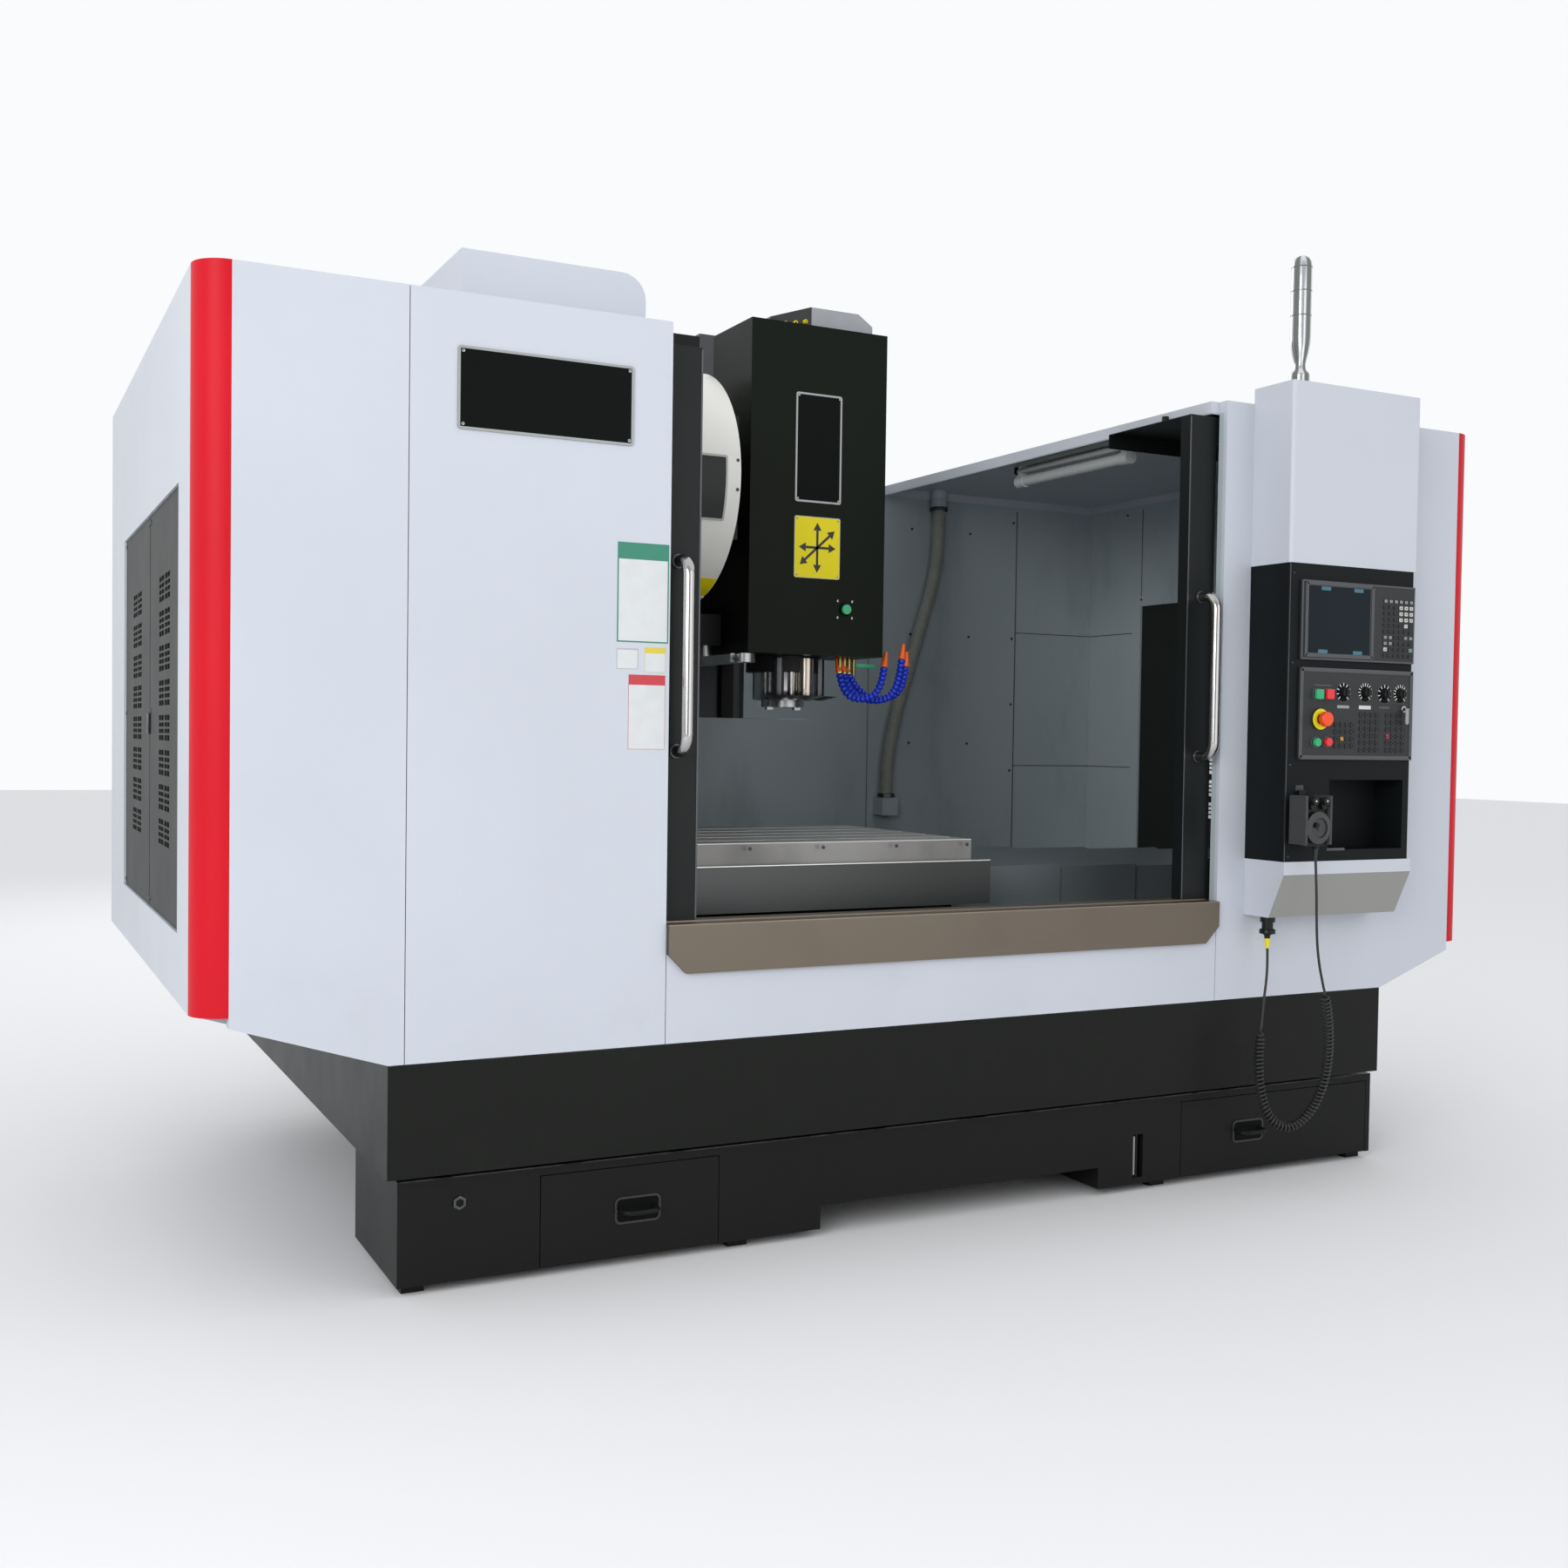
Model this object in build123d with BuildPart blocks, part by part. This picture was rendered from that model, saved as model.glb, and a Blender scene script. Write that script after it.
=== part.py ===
from build123d import *
from math import hypot, tan, radians
import os

os.makedirs("parts", exist_ok=True)

# Vertical machining center with a moving table, in millimetres.
# X runs along the front, Y towards the back, Z up. The origin is on the floor, under the middle of the machine.

# Overall and enclosure
overall_width = 3600
enclosure_depth = 1868
rear_wall = 88
rear_inner = enclosure_depth - rear_wall
column_front = rear_inner - 20
column_depth = 640
cabinet_depth = 320
machine_depth = column_front + column_depth + cabinet_depth
pendant_reach = 237
enclosure_top = 2130
front_lower_edge = 504
side_lower_edge = 625
underside_left = 388 - overall_width / 2
underside_right = overall_width / 2 - 339
wall = 30
sheet = 3
fold = 30
seam = 0.5
seat_gap = 0.3
strip_radius = 69
strip_wall = 6
corner_seam = underside_left + 35
panel_seam = 2

# Doorway, sill and sliding doors
doorway_left = 1016 - overall_width / 2
doorway_right = overall_width / 2 - 965
sill_top = 776
sill_height = 113
sill_proud = 14
sill_corner = 45
door_width = (doorway_right - doorway_left + 61) / 2
door_top = 2091
door_face = 40
door_thickness = 40
door_stile = 90
door_top_rail = 70
door_bottom_rail = 110
door_cover_depth = 350
stile_shown = 88
glass_thickness = 8
rail_lift = 3
handle_diameter = 28
handle_height = 461
handle_centre = 1384.5
handle_standoff = 62
handle_inset = 34
handle_bend = 38

# Side louvres
louvre_front = 254
louvre_back = enclosure_depth - 393
louvre_bottom = 770
louvre_top = 1720
louvre_thickness = 16
louvre_recess = 6
louvre_hole_width = 94
louvre_hole_height = 58
louvre_rows = 8
louvre_pitch = 80
louvre_columns_pitch = 114
louvre_slats = 4
louvre_slat_height = 5

# Roof
roof_fold = 34
roof_left_edge = doorway_left
roof_right_edge = doorway_right - 26
hood_left = doorway_left - 439
hood_right = doorway_left - 1
hood_front = 168
hood_length = enclosure_depth - 618
hood_height = 143
hood_round = 60

# Axes: where the slides stand now, and how far they travel
spindle_throat = 785
spindle_depth = column_front - spindle_throat
table_centre_x = -459
table_centre_depth = 658
table_length = 1400
table_width = 700
table_top = 935
table_thickness = 135
x_travel = 1300
y_travel = 700

# Guides
rail_width = 45
rail_height = 30
y_rail_spacing = 660
x_rail_spacing = 340
z_rail_spacing = 340
screw_diameter = 50
carriage_width = 100

# Base, saddle and column
foot_height = 60
base_top = 540
base_half_width = 700
base_front = 460
base_nose_front = 60
base_nose_bottom = 330
base_nose_half_width = 450
column_top = 2590
column_foot_half = 560
column_half = 380
column_taper_bottom = 900
column_taper_top = 1250
arch_half = 400
arch_top = 720
saddle_depth = 560
saddle_half = 900
saddle_bottom = 600
saddle_top = 740

# Telescopic covers
x_cover_length = 370
x_cover_stages = 5
x_cover_half = 257
x_cover_eaves = 851
x_cover_ridge = 885
x_cover_end = overall_width / 2 - 70
y_cover_length = 275
y_cover_stages = 4
y_cover_half = 380
y_cover_eaves = 645
y_cover_ridge = 688
y_cover_end = 60
cover_step = 6
shelf_width = 45
shelf_height = 20

# Head
head_half = 221
head_front = spindle_depth - 212
head_cover_depth = 260
spindle_nose = 1295
head_bottom = spindle_nose + 149
head_top = head_bottom + 943
arm_half = 217.7
arm_bottom = head_bottom + 56
arm_top = arm_bottom + 700
slide_half = 215
slide_thickness = 45
cartridge_radius = 88
cartridge_bottom = spindle_nose + 43
spindle_nose_radius = 64
spindle_shaft_radius = 40
taper_mouth_radius = 22
taper_depth = 65
running_gap = 0.05
release_spot = (91, 1579)
release_stem = 8

# Tool magazine
change_arm_bottom = spindle_nose + 117
frame_nose_bottom = change_arm_bottom + 58
frame_nose_top = frame_nose_bottom + 90
drum_radius = 331
drum_depth = spindle_depth + 7
drum_height = frame_nose_top + 363
drum_right = -303
drum_left = -600
drum_wall = 4
drum_round = 40
drum_cut = drum_height - 323
arm_axis_x = -262
change_arm_reach = 262
change_arm_thickness = 24
pot_count = 24

# Operator station
box_left = doorway_right + 98
box_right = box_left + 473
box_reach = 148
box_bottom = 1688
box_top = 2170
console_right = box_right - 10
console_bottom = 890
tray_bottom = 736
tray_step = 855
tray_back_reach = 95
recess_left = box_left + 157
recess_right = console_right - 28
recess_bottom = 920
recess_top = 1110
recess_depth = 100
display_bottom = 1432
display_top = 1644
panel_bottom = 1165
panel_top = 1411
panel_left = box_left + 37
panel_right = console_right - 5
panel_thickness = 6
control_stem = 5

# Chip tray and coolant tank
chip_tray_bottom = 260
tray_wall = 4
tank_setback = 28
tank_depth = 400
tank_left = underside_left + 28
tank_right = underside_right + 1
tank_bottom = 20
tank_top = 248
drawer_seams = ((tank_left + 316, tank_left + 752), (tank_right - 710, tank_right - 17))
bail_height = 128
bail_width = 84
bail_reach = 34
notch_left = drawer_seams[0][1] + 270
notch_right = drawer_seams[1][0] - 279
gauge_slot = notch_right + 116
notch_top = 77
drawer_gap = 2

# Pendant cord
lead_diameter = 7
curl_diameter = 26
end_gap = 0.5

# Flexible conduit on the rear wall: X and height of each turn
conduit_diameter = 49
conduit_depth = rear_inner - 40
conduit_route = [(1031, 2066), (1031, 1990), (1028, 1880), (1004, 1760), (965, 1640), (922, 1500), (880, 1370),
                 (844, 1230), (822, 1100), (822, 990)]
outlet_half = 32

# The front faces stand at this Y, so that the machine is centred on the origin.
front_y = pendant_reach - (machine_depth + pendant_reach) / 2


def behind(depth):
    return front_y + depth


def facing(depth):
    # A plane that looks to the front, at a depth behind the front faces; sketch x is X, sketch y is Z.
    return Plane((0, behind(depth), 0), x_dir=(1, 0, 0), z_dir=(0, -1, 0))


def sideways(x):
    # A plane that looks to the right; sketch x is Y, sketch y is Z.
    return Plane((x, 0, 0), x_dir=(0, 1, 0), z_dir=(1, 0, 0))


def block(x0, x1, depth0, depth1, z0, z1, mode=Mode.ADD):
    with Locations(((x0 + x1) / 2, behind((depth0 + depth1) / 2), (z0 + z1) / 2)):
        Box(x1 - x0, depth1 - depth0, z1 - z0, mode=mode)


def save(builder, name):
    builder.part.label = name
    export_step(builder.part, f"parts/{name}.step")


def folded_front(points, depth=0, reach=fold):
    # A front sheet with its edges folded back all round.
    with BuildSketch(facing(depth)) as outline:
        with BuildLine():
            Polyline(*points, close=True)
        make_face()
    extrude(outline.sketch, amount=-reach)
    with BuildSketch(facing(depth + sheet)) as hollow:
        with BuildLine():
            Polyline(*points, close=True)
        make_face()
        offset(amount=-sheet, kind=Kind.INTERSECTION)
    extrude(hollow.sketch, amount=-reach, mode=Mode.SUBTRACT)


# Front sheets: the lower edge climbs from the chip tray to the side walls
half_width = overall_width / 2
strip_centre = half_width - strip_radius


def lower_edge(x):
    inner = underside_left if x < 0 else underside_right
    rise = (side_lower_edge - front_lower_edge) / (half_width - abs(inner))
    return front_lower_edge + rise * max(0, abs(x) - abs(inner))


with BuildPart() as front_panels:
    folded_front([
        (-strip_centre, lower_edge(-strip_centre)), (underside_left, front_lower_edge),
        (corner_seam - panel_seam, front_lower_edge), (corner_seam - panel_seam, enclosure_top),
        (-strip_centre, enclosure_top),
    ])
    folded_front([
        (corner_seam, front_lower_edge), (doorway_left - panel_seam, front_lower_edge),
        (doorway_left - panel_seam, enclosure_top), (corner_seam, enclosure_top),
    ])
    folded_front([
        (doorway_left, front_lower_edge), (doorway_right, front_lower_edge),
        (doorway_right, sill_top - sheet - seat_gap), (doorway_left, sill_top - sheet - seat_gap),
    ])
    folded_front([
        (doorway_right + panel_seam, front_lower_edge), (underside_right, front_lower_edge),
        (strip_centre, lower_edge(strip_centre)), (strip_centre, enclosure_top),
        (doorway_right + panel_seam, enclosure_top),
    ])
save(front_panels, "front_panels")

with BuildPart() as corner_strips:
    with BuildSketch(Plane.XY.offset(side_lower_edge)):
        for side, start in ((-1, 180), (1, 270)):
            centre = (side * strip_centre, behind(strip_radius))
            with BuildLine():
                outer = CenterArc(centre, strip_radius, start, 90)
                inner = CenterArc(centre, strip_radius - strip_wall, start, 90)
                Line(outer @ 0, inner @ 0)
                Line(outer @ 1, inner @ 1)
            make_face()
    extrude(amount=enclosure_top - side_lower_edge)
save(corner_strips, "corner_strips")

# Side walls with the louvre openings, the slanted undersides and the rear wall
guard_front = column_front - 25
guard_back = column_front - seat_gap
guard_slot_half = 235
guard_slot_bottom = 1270
frame_gap = (1545, 1975)
with BuildPart() as enclosure_walls:
    for side in (-1, 1):
        outer_x = side * half_width
        inner_x = side * (half_width - wall)
        low_x = min(outer_x, inner_x)
        high_x = max(outer_x, inner_x)
        block(low_x, high_x, strip_radius, enclosure_depth, side_lower_edge, enclosure_top)
        block(low_x, high_x, louvre_front, louvre_back, louvre_bottom, louvre_top, mode=Mode.SUBTRACT)
        tray_side = underside_left if side < 0 else underside_right
        slope = (side_lower_edge - front_lower_edge) / (half_width - abs(tray_side))
        with BuildSketch(facing(strip_radius)):
            with BuildLine():
                Polyline(
                    (tray_side, front_lower_edge), (inner_x - side * seam, side_lower_edge - slope * wall),
                    (inner_x - side * seam, side_lower_edge - slope * wall + wall), (tray_side, front_lower_edge + wall),
                    close=True,
                )
            make_face()
        extrude(amount=strip_radius - rear_inner + seam)
        far_x = side * (half_width - wall - seam)
        near_x = side * (column_foot_half + seam)
        block(min(far_x, near_x), max(far_x, near_x), rear_inner, enclosure_depth, side_lower_edge, enclosure_top)
        guard_x = (side * guard_slot_half, side * column_foot_half)
        if side > 0:
            block(*guard_x, guard_front, guard_back, guard_slot_bottom + seam, enclosure_top)
        else:
            block(guard_x[1], guard_x[0], guard_front, guard_back, guard_slot_bottom + seam, frame_gap[0])
            block(guard_x[1], guard_x[0], guard_front, guard_back, frame_gap[1], enclosure_top)
    block(-column_foot_half, column_foot_half, guard_front, guard_back, arch_top, guard_slot_bottom)
    outlet_x, outlet_z = conduit_route[-1]
    block(outlet_x - outlet_half, outlet_x + outlet_half, conduit_depth - outlet_half, rear_inner,
          outlet_z - 2 * outlet_half, outlet_z)
save(enclosure_walls, "enclosure_walls")

# Louvred leaves, set into the side walls
leaf_middle = (louvre_front + louvre_back) / 2
leaf_gap = 0.4
with BuildPart() as side_louvres:
    for side in (-1, 1):
        face_x = side * (half_width - louvre_recess)
        for front, back in ((louvre_front, leaf_middle), (leaf_middle, louvre_back)):
            outline = (back - front - 2 * leaf_gap, louvre_top - louvre_bottom - 2 * leaf_gap)
            middle = (behind((front + back) / 2), (louvre_bottom + louvre_top) / 2)
            with BuildSketch(sideways(face_x)):
                with Locations(middle):
                    Rectangle(*outline)
                    with GridLocations(louvre_columns_pitch, louvre_pitch, 2, louvre_rows):
                        Rectangle(louvre_hole_width, louvre_hole_height, mode=Mode.SUBTRACT)
            extrude(amount=-side * louvre_thickness)
            with BuildSketch(sideways(face_x)):
                with Locations(middle):
                    with GridLocations(louvre_columns_pitch, louvre_pitch, 2, louvre_rows):
                        with GridLocations(0, louvre_hole_height / louvre_slats, 1, louvre_slats - 1):
                            Rectangle(louvre_hole_width, louvre_slat_height)
                        Rectangle(louvre_slat_height, louvre_hole_height)
            extrude(amount=-side * louvre_slat_height)
save(side_louvres, "side_louvres")

# Roof sheets with folded rims, the gland of the conduit, and the hood on the left one
roof_back = rear_inner - seam
with BuildPart() as roof_panels:
    for x0, x1 in ((-half_width + wall + seam, roof_left_edge), (roof_right_edge, half_width - wall - seam)):
        block(x0, x1, fold + seam, roof_back, enclosure_top - roof_fold, enclosure_top)
        block(x0 + sheet, x1 - sheet, fold + seam + sheet, roof_back - sheet,
              enclosure_top - roof_fold, enclosure_top - sheet, mode=Mode.SUBTRACT)
    with BuildSketch(Plane.XY.offset(conduit_route[0][1])):
        with Locations((conduit_route[0][0], behind(conduit_depth))):
            Circle(conduit_diameter / 2 + 5)
    extrude(amount=enclosure_top - sheet - conduit_route[0][1])
    with BuildSketch(facing(hood_front)) as hood_profile:
        with Locations(((hood_left + hood_right) / 2, enclosure_top + seat_gap + hood_height / 2)):
            Rectangle(hood_right - hood_left, hood_height)
        fillet(hood_profile.vertices().group_by(Axis.Z)[-1].sort_by(Axis.X)[-1], hood_round)
    extrude(amount=-hood_length)
    block(hood_left + sheet, hood_right - sheet, hood_front + sheet, hood_front + hood_length - sheet,
          enclosure_top, enclosure_top + hood_height - hood_round, mode=Mode.SUBTRACT)
save(roof_panels, "roof_panels")

# Sill plate with its corners cut, its shelf, and the lower door rail behind it
rail_bottom = 700
door_bottom = sill_top + rail_lift
doorway_centre = (doorway_left + doorway_right) / 2
door_inner_left = doorway_left + stile_shown
door_outer_left = door_inner_left - door_width
door_inner_right = doorway_right - stile_shown
door_outer_right = door_inner_right + door_width
with BuildPart() as sill_plate:
    sill_bottom = sill_top - sill_height
    folded_front([
        (doorway_left + sill_corner, sill_bottom), (doorway_right - sill_corner, sill_bottom),
        (doorway_right, sill_bottom + sill_corner), (doorway_right, sill_top),
        (doorway_left, sill_top), (doorway_left, sill_bottom + sill_corner),
    ], depth=-sill_proud, reach=sill_proud)
    block(doorway_left, doorway_right, -sill_proud, door_face - sheet, sill_top - sheet, sill_top)
    block(door_outer_left, door_outer_right, door_face - sheet, door_face + door_thickness + sheet,
          rail_bottom, door_bottom - seat_gap)
save(sill_plate, "sill_plate")


# Sliding doors: a black frame with a window, and a closing plate that runs back from its top
def door_frame(x0, x1):
    with BuildSketch(facing(door_face)) as frame:
        with Locations(((x0 + x1) / 2, (door_bottom + door_top) / 2)):
            Rectangle(x1 - x0, door_top - door_bottom)
        with Locations(((x0 + x1) / 2, (door_bottom + door_bottom_rail + door_top - door_top_rail) / 2)):
            Rectangle(x1 - x0 - 2 * door_stile, door_top - door_top_rail - door_bottom - door_bottom_rail,
                      mode=Mode.SUBTRACT)
    extrude(frame.sketch, amount=-door_thickness)
    block(x0, x1, door_face + door_thickness, door_face + door_cover_depth, door_top - sheet, door_top)
    block(x0, x1, door_face + door_cover_depth - sheet, door_face + door_cover_depth, door_top - 40, door_top)


def door_pane(x0, x1):
    middle = door_face + door_thickness / 2
    with BuildSketch(facing(middle - glass_thickness / 2)) as pane:
        with Locations(((x0 + x1) / 2, (door_bottom + door_bottom_rail + door_top - door_top_rail) / 2)):
            Rectangle(x1 - x0 - 2 * door_stile - 2 * seat_gap,
                      door_top - door_top_rail - door_bottom - door_bottom_rail - 2 * seat_gap)
    extrude(pane.sketch, amount=-glass_thickness)


def door_handle(x):
    low = handle_centre - handle_height / 2 + handle_diameter / 2
    high = handle_centre + handle_height / 2 - handle_diameter / 2
    face = behind(door_face)
    out = face - handle_standoff
    with BuildLine() as path:
        FilletPolyline((x, face, low), (x, out, low), (x, out, high), (x, face, high), radius=handle_bend)
    with BuildSketch(Plane((x, face, low), x_dir=(1, 0, 0), z_dir=(0, -1, 0))) as section:
        Circle(handle_diameter / 2)
    sweep(section.sketch, path=path.wires()[0])


with BuildPart() as door_left:
    door_frame(door_outer_left, door_inner_left)
save(door_left, "door_left")
with BuildPart() as door_right:
    door_frame(door_inner_right, door_outer_right)
save(door_right, "door_right")
with BuildPart() as door_left_glass:
    door_pane(door_outer_left, door_inner_left)
save(door_left_glass, "door_left_glass")
with BuildPart() as door_right_glass:
    door_pane(door_inner_right, door_outer_right)
save(door_right_glass, "door_right_glass")
with BuildPart() as door_left_handle:
    door_handle(doorway_left + handle_inset)
save(door_left_handle, "door_left_handle")
with BuildPart() as door_right_handle:
    door_handle(doorway_right - handle_inset - 8)
save(door_right_handle, "door_right_handle")

# Chip tray: an open pan round the base, with the fixed stage of the front Y cover standing in it
tray_top = front_lower_edge - seat_gap


def roof_section(half, eaves, ridge, foot):
    # Corners of a pitched cover section: skirts up to the eaves and a low roof between them.
    return [
        (-half, foot), (-half, eaves), (0, ridge), (half, eaves), (half, foot), (half - sheet, foot),
        (half - sheet, eaves - sheet), (0, ridge - sheet), (-half + sheet, eaves - sheet), (-half + sheet, foot),
    ]


def y_stage(number, front_edge):
    # One stage of a Y cover; each stage further from the saddle is smaller by one step.
    inset = cover_step * number
    corners = roof_section(y_cover_half - inset, y_cover_eaves - inset, y_cover_ridge - inset, base_top + seat_gap)
    with BuildSketch(facing(front_edge)) as section:
        with BuildLine():
            Polyline(*corners, close=True)
        make_face()
    extrude(section.sketch, amount=-y_cover_length)


saddle_front = table_centre_depth - saddle_depth / 2
saddle_back = table_centre_depth + saddle_depth / 2
y_low = saddle_front - y_cover_length
y_gap_front = (y_low - y_cover_end) / (y_cover_stages - 1)
y_back_end = saddle_back + y_travel + y_cover_length - (saddle_front - y_cover_end - y_cover_length) + 25
y_gap_back = (y_back_end - saddle_back - y_cover_length) / (y_cover_stages - 1)

with BuildPart() as chip_tray:
    block(underside_left, underside_right, 3, enclosure_depth - 30, chip_tray_bottom, tray_top)
    block(underside_left + tray_wall, underside_right - tray_wall, 3 + tray_wall, enclosure_depth - 30 - tray_wall,
          chip_tray_bottom + tray_wall, tray_top, mode=Mode.SUBTRACT)
    block(-base_half_width - 5, base_half_width + 5, base_front - 5, enclosure_depth,
          chip_tray_bottom, tray_top, mode=Mode.SUBTRACT)
    y_stage(y_cover_stages - 1, y_cover_end)
    y_stage(y_cover_stages - 1, y_back_end - y_cover_length)
save(chip_tray, "chip_tray")

# Coolant tank under the tray, with the bays of two chip drawers, the lift notch and the level gauge slot
tank_back = tank_setback + tank_depth
with BuildPart() as coolant_tank:
    block(tank_left, tank_right, tank_setback, tank_back, tank_bottom, tank_top)
    for left, right in drawer_seams:
        block(left, right, tank_setback, tank_back - 20, tank_bottom, tank_top - 20, mode=Mode.SUBTRACT)
    block(notch_left, notch_right, tank_setback, tank_back, tank_bottom, notch_top, mode=Mode.SUBTRACT)
    block(gauge_slot, gauge_slot + 33, tank_setback, tank_setback + 25, 37, 153, mode=Mode.SUBTRACT)
    with BuildSketch(Plane.XY.offset(37)):
        with Locations((gauge_slot + 16, behind(tank_setback + 12))):
            Circle(7)
    extrude(amount=116)
    for left, right in drawer_seams:
        block(left + seam, right - seam, tank_setback + 2, tank_back - 20 - seam, tank_bottom + seam,
              tank_bottom + tray_wall)
    for x in (tank_left + 40, drawer_seams[0][1] + 60, drawer_seams[1][0] - 60, tank_right - 40):
        for depth in (tank_setback + 50, tank_back - 50):
            block(x - 25, x + 25, depth - 25, depth + 25, 0, tank_bottom)
save(coolant_tank, "coolant_tank")


def chip_drawer(left, right, pull_x):
    bottom = tank_bottom + tray_wall + seat_gap
    top = tank_top - 20 - drawer_gap
    back = tank_back - 20 - drawer_gap
    block(left + drawer_gap, right - drawer_gap, tank_setback, back, bottom, top)
    block(left + drawer_gap + sheet, right - drawer_gap - sheet, tank_setback + sheet, back - sheet,
          bottom + sheet, top, mode=Mode.SUBTRACT)
    face = behind(tank_setback)
    near = pull_x - bail_width / 2
    far = pull_x + bail_width / 2
    with BuildLine() as bail:
        FilletPolyline((near, face, bail_height), (near, face - bail_reach, bail_height),
                       (far, face - bail_reach, bail_height), (far, face, bail_height), radius=20)
    with BuildSketch(Plane((near, face, bail_height), x_dir=(1, 0, 0), z_dir=(0, -1, 0))) as section:
        Circle(6)
    sweep(section.sketch, path=bail.wires()[0])


with BuildPart() as drawer_left:
    chip_drawer(*drawer_seams[0], drawer_seams[0][0] + 232)
save(drawer_left, "drawer_left")
with BuildPart() as drawer_right:
    chip_drawer(*drawer_seams[1], drawer_seams[1][0] + 240)
save(drawer_right, "drawer_right")

# Base casting: a deep box under the column and a nose under the front covers, on levelling feet
with BuildPart() as base_casting:
    block(-base_half_width, base_half_width, base_front, column_front + column_depth, foot_height, base_top)
    block(-base_nose_half_width, base_nose_half_width, base_nose_front, base_front, base_nose_bottom, base_top)
    with BuildSketch(sideways(-base_half_width)):
        with Locations((behind((base_front + column_front + column_depth) / 2), (foot_height + base_top) / 2)):
            with GridLocations(420, 0, 4, 1):
                SlotOverall(260, 110, rotation=90)
    extrude(amount=2 * base_half_width, mode=Mode.SUBTRACT)
    for x in (-base_half_width + 70, base_half_width - 70):
        for depth in (base_front + 90, (base_front + column_front + column_depth) / 2,
                      column_front + column_depth - 90):
            with BuildSketch(Plane.XY):
                with Locations((x, behind(depth))):
                    Circle(60)
            extrude(amount=18)
            with BuildSketch(Plane.XY.offset(18)):
                with Locations((x, behind(depth))):
                    Circle(24)
            extrude(amount=foot_height - 18)
save(base_casting, "base_casting")

# Rails, ball screws and motors that stand still
y_rail_front = 330
y_rail_back = 1650
z_rail_bottom = 1270
z_screw_diameter = 30
z_pocket_depth = 40
z_motor_bottom = column_top - 170
z_motor_depth = 122
with BuildPart() as axis_drives:
    for side in (-1, 1):
        x = side * y_rail_spacing / 2
        block(x - rail_width / 2, x + rail_width / 2, y_rail_front, y_rail_back, base_top + seat_gap,
              base_top + rail_height)
        x = side * z_rail_spacing / 2
        block(x - rail_width / 2, x + rail_width / 2, column_front - rail_height, column_front - seat_gap,
              z_rail_bottom, column_top - 20)
    with BuildSketch(facing(y_rail_front)):
        with Locations((0, base_top + screw_diameter / 2 + 4)):
            Circle(screw_diameter / 2)
    extrude(amount=y_rail_front - y_rail_back)
    for depth in (y_rail_front, y_rail_back - 60):
        block(-60, 60, depth, depth + 60, base_top + seat_gap, base_top + 60)
    block(-55, 55, y_rail_back, y_rail_back + 220, base_top + seat_gap, base_top + 105)
    with BuildSketch(Plane.XY.offset(z_rail_bottom + 60)):
        with Locations((0, behind(column_front + 16))):
            Circle(z_screw_diameter / 2)
    extrude(amount=z_motor_bottom - z_rail_bottom - 60)
    block(-30, 30, column_front + 1, column_front + z_pocket_depth, z_rail_bottom, z_rail_bottom + 60)
    block(-60, 60, column_front + 2, column_front + z_motor_depth, z_motor_bottom, column_top - 10)
save(axis_drives, "axis_drives")

# Column: a tapered casting with an arch for the rear cover
with BuildPart() as column:
    with BuildSketch(facing(column_front)):
        with BuildLine():
            Polyline(
                (-column_foot_half, base_top + seat_gap), (-column_foot_half, column_taper_bottom),
                (-column_half, column_taper_top), (-column_half, column_top), (column_half, column_top),
                (column_half, column_taper_top), (column_foot_half, column_taper_bottom),
                (column_foot_half, base_top + seat_gap), (arch_half, base_top + seat_gap), (arch_half, arch_top - 20),
                (arch_half - 20, arch_top), (-arch_half + 20, arch_top), (-arch_half, arch_top - 20),
                (-arch_half, base_top + seat_gap), close=True,
            )
        make_face()
    extrude(amount=-column_depth)
    block(-30 - seat_gap, 30 + seat_gap, column_front, column_front + z_pocket_depth + seat_gap,
          z_rail_bottom - seat_gap, column_top, mode=Mode.SUBTRACT)
    block(-60 - seat_gap, 60 + seat_gap, column_front, column_front + z_motor_depth + seat_gap,
          z_motor_bottom - 1, column_top, mode=Mode.SUBTRACT)
    with BuildSketch(sideways(-column_half)):
        with Locations((behind(column_front + column_depth / 2), (column_taper_top + column_top) / 2)):
            with GridLocations(0, (column_top - column_taper_top) * 0.3, 1, 3):
                SlotOverall(260, 120)
    extrude(amount=60, mode=Mode.SUBTRACT)
    with BuildSketch(sideways(column_half)):
        with Locations((behind(column_front + column_depth / 2), (column_taper_top + column_top) / 2)):
            with GridLocations(0, (column_top - column_taper_top) * 0.3, 1, 3):
                SlotOverall(260, 120)
    extrude(amount=-60, mode=Mode.SUBTRACT)
save(column, "column")

# Electrical cabinet on the back of the column
cabinet_half = 600
cabinet_bottom = 760
cabinet_top = 2260
cabinet_front = column_front + column_depth + seat_gap
with BuildPart() as electrical_cabinet:
    block(-cabinet_half, cabinet_half, cabinet_front, machine_depth - 20, cabinet_bottom, cabinet_top)
    for x0, x1 in ((-cabinet_half + 12, -3), (3, cabinet_half - 12)):
        block(x0, x1, machine_depth - 20, machine_depth, cabinet_bottom + 12, cabinet_top - 12)
    with BuildSketch(facing(machine_depth)) as vents:
        with Locations((-cabinet_half / 2, cabinet_top - 200), (cabinet_half / 2, cabinet_top - 200)):
            with GridLocations(0, 22, 1, 6):
                SlotOverall(300, 8)
    extrude(amount=8, mode=Mode.SUBTRACT)
save(electrical_cabinet, "electrical_cabinet")

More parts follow.
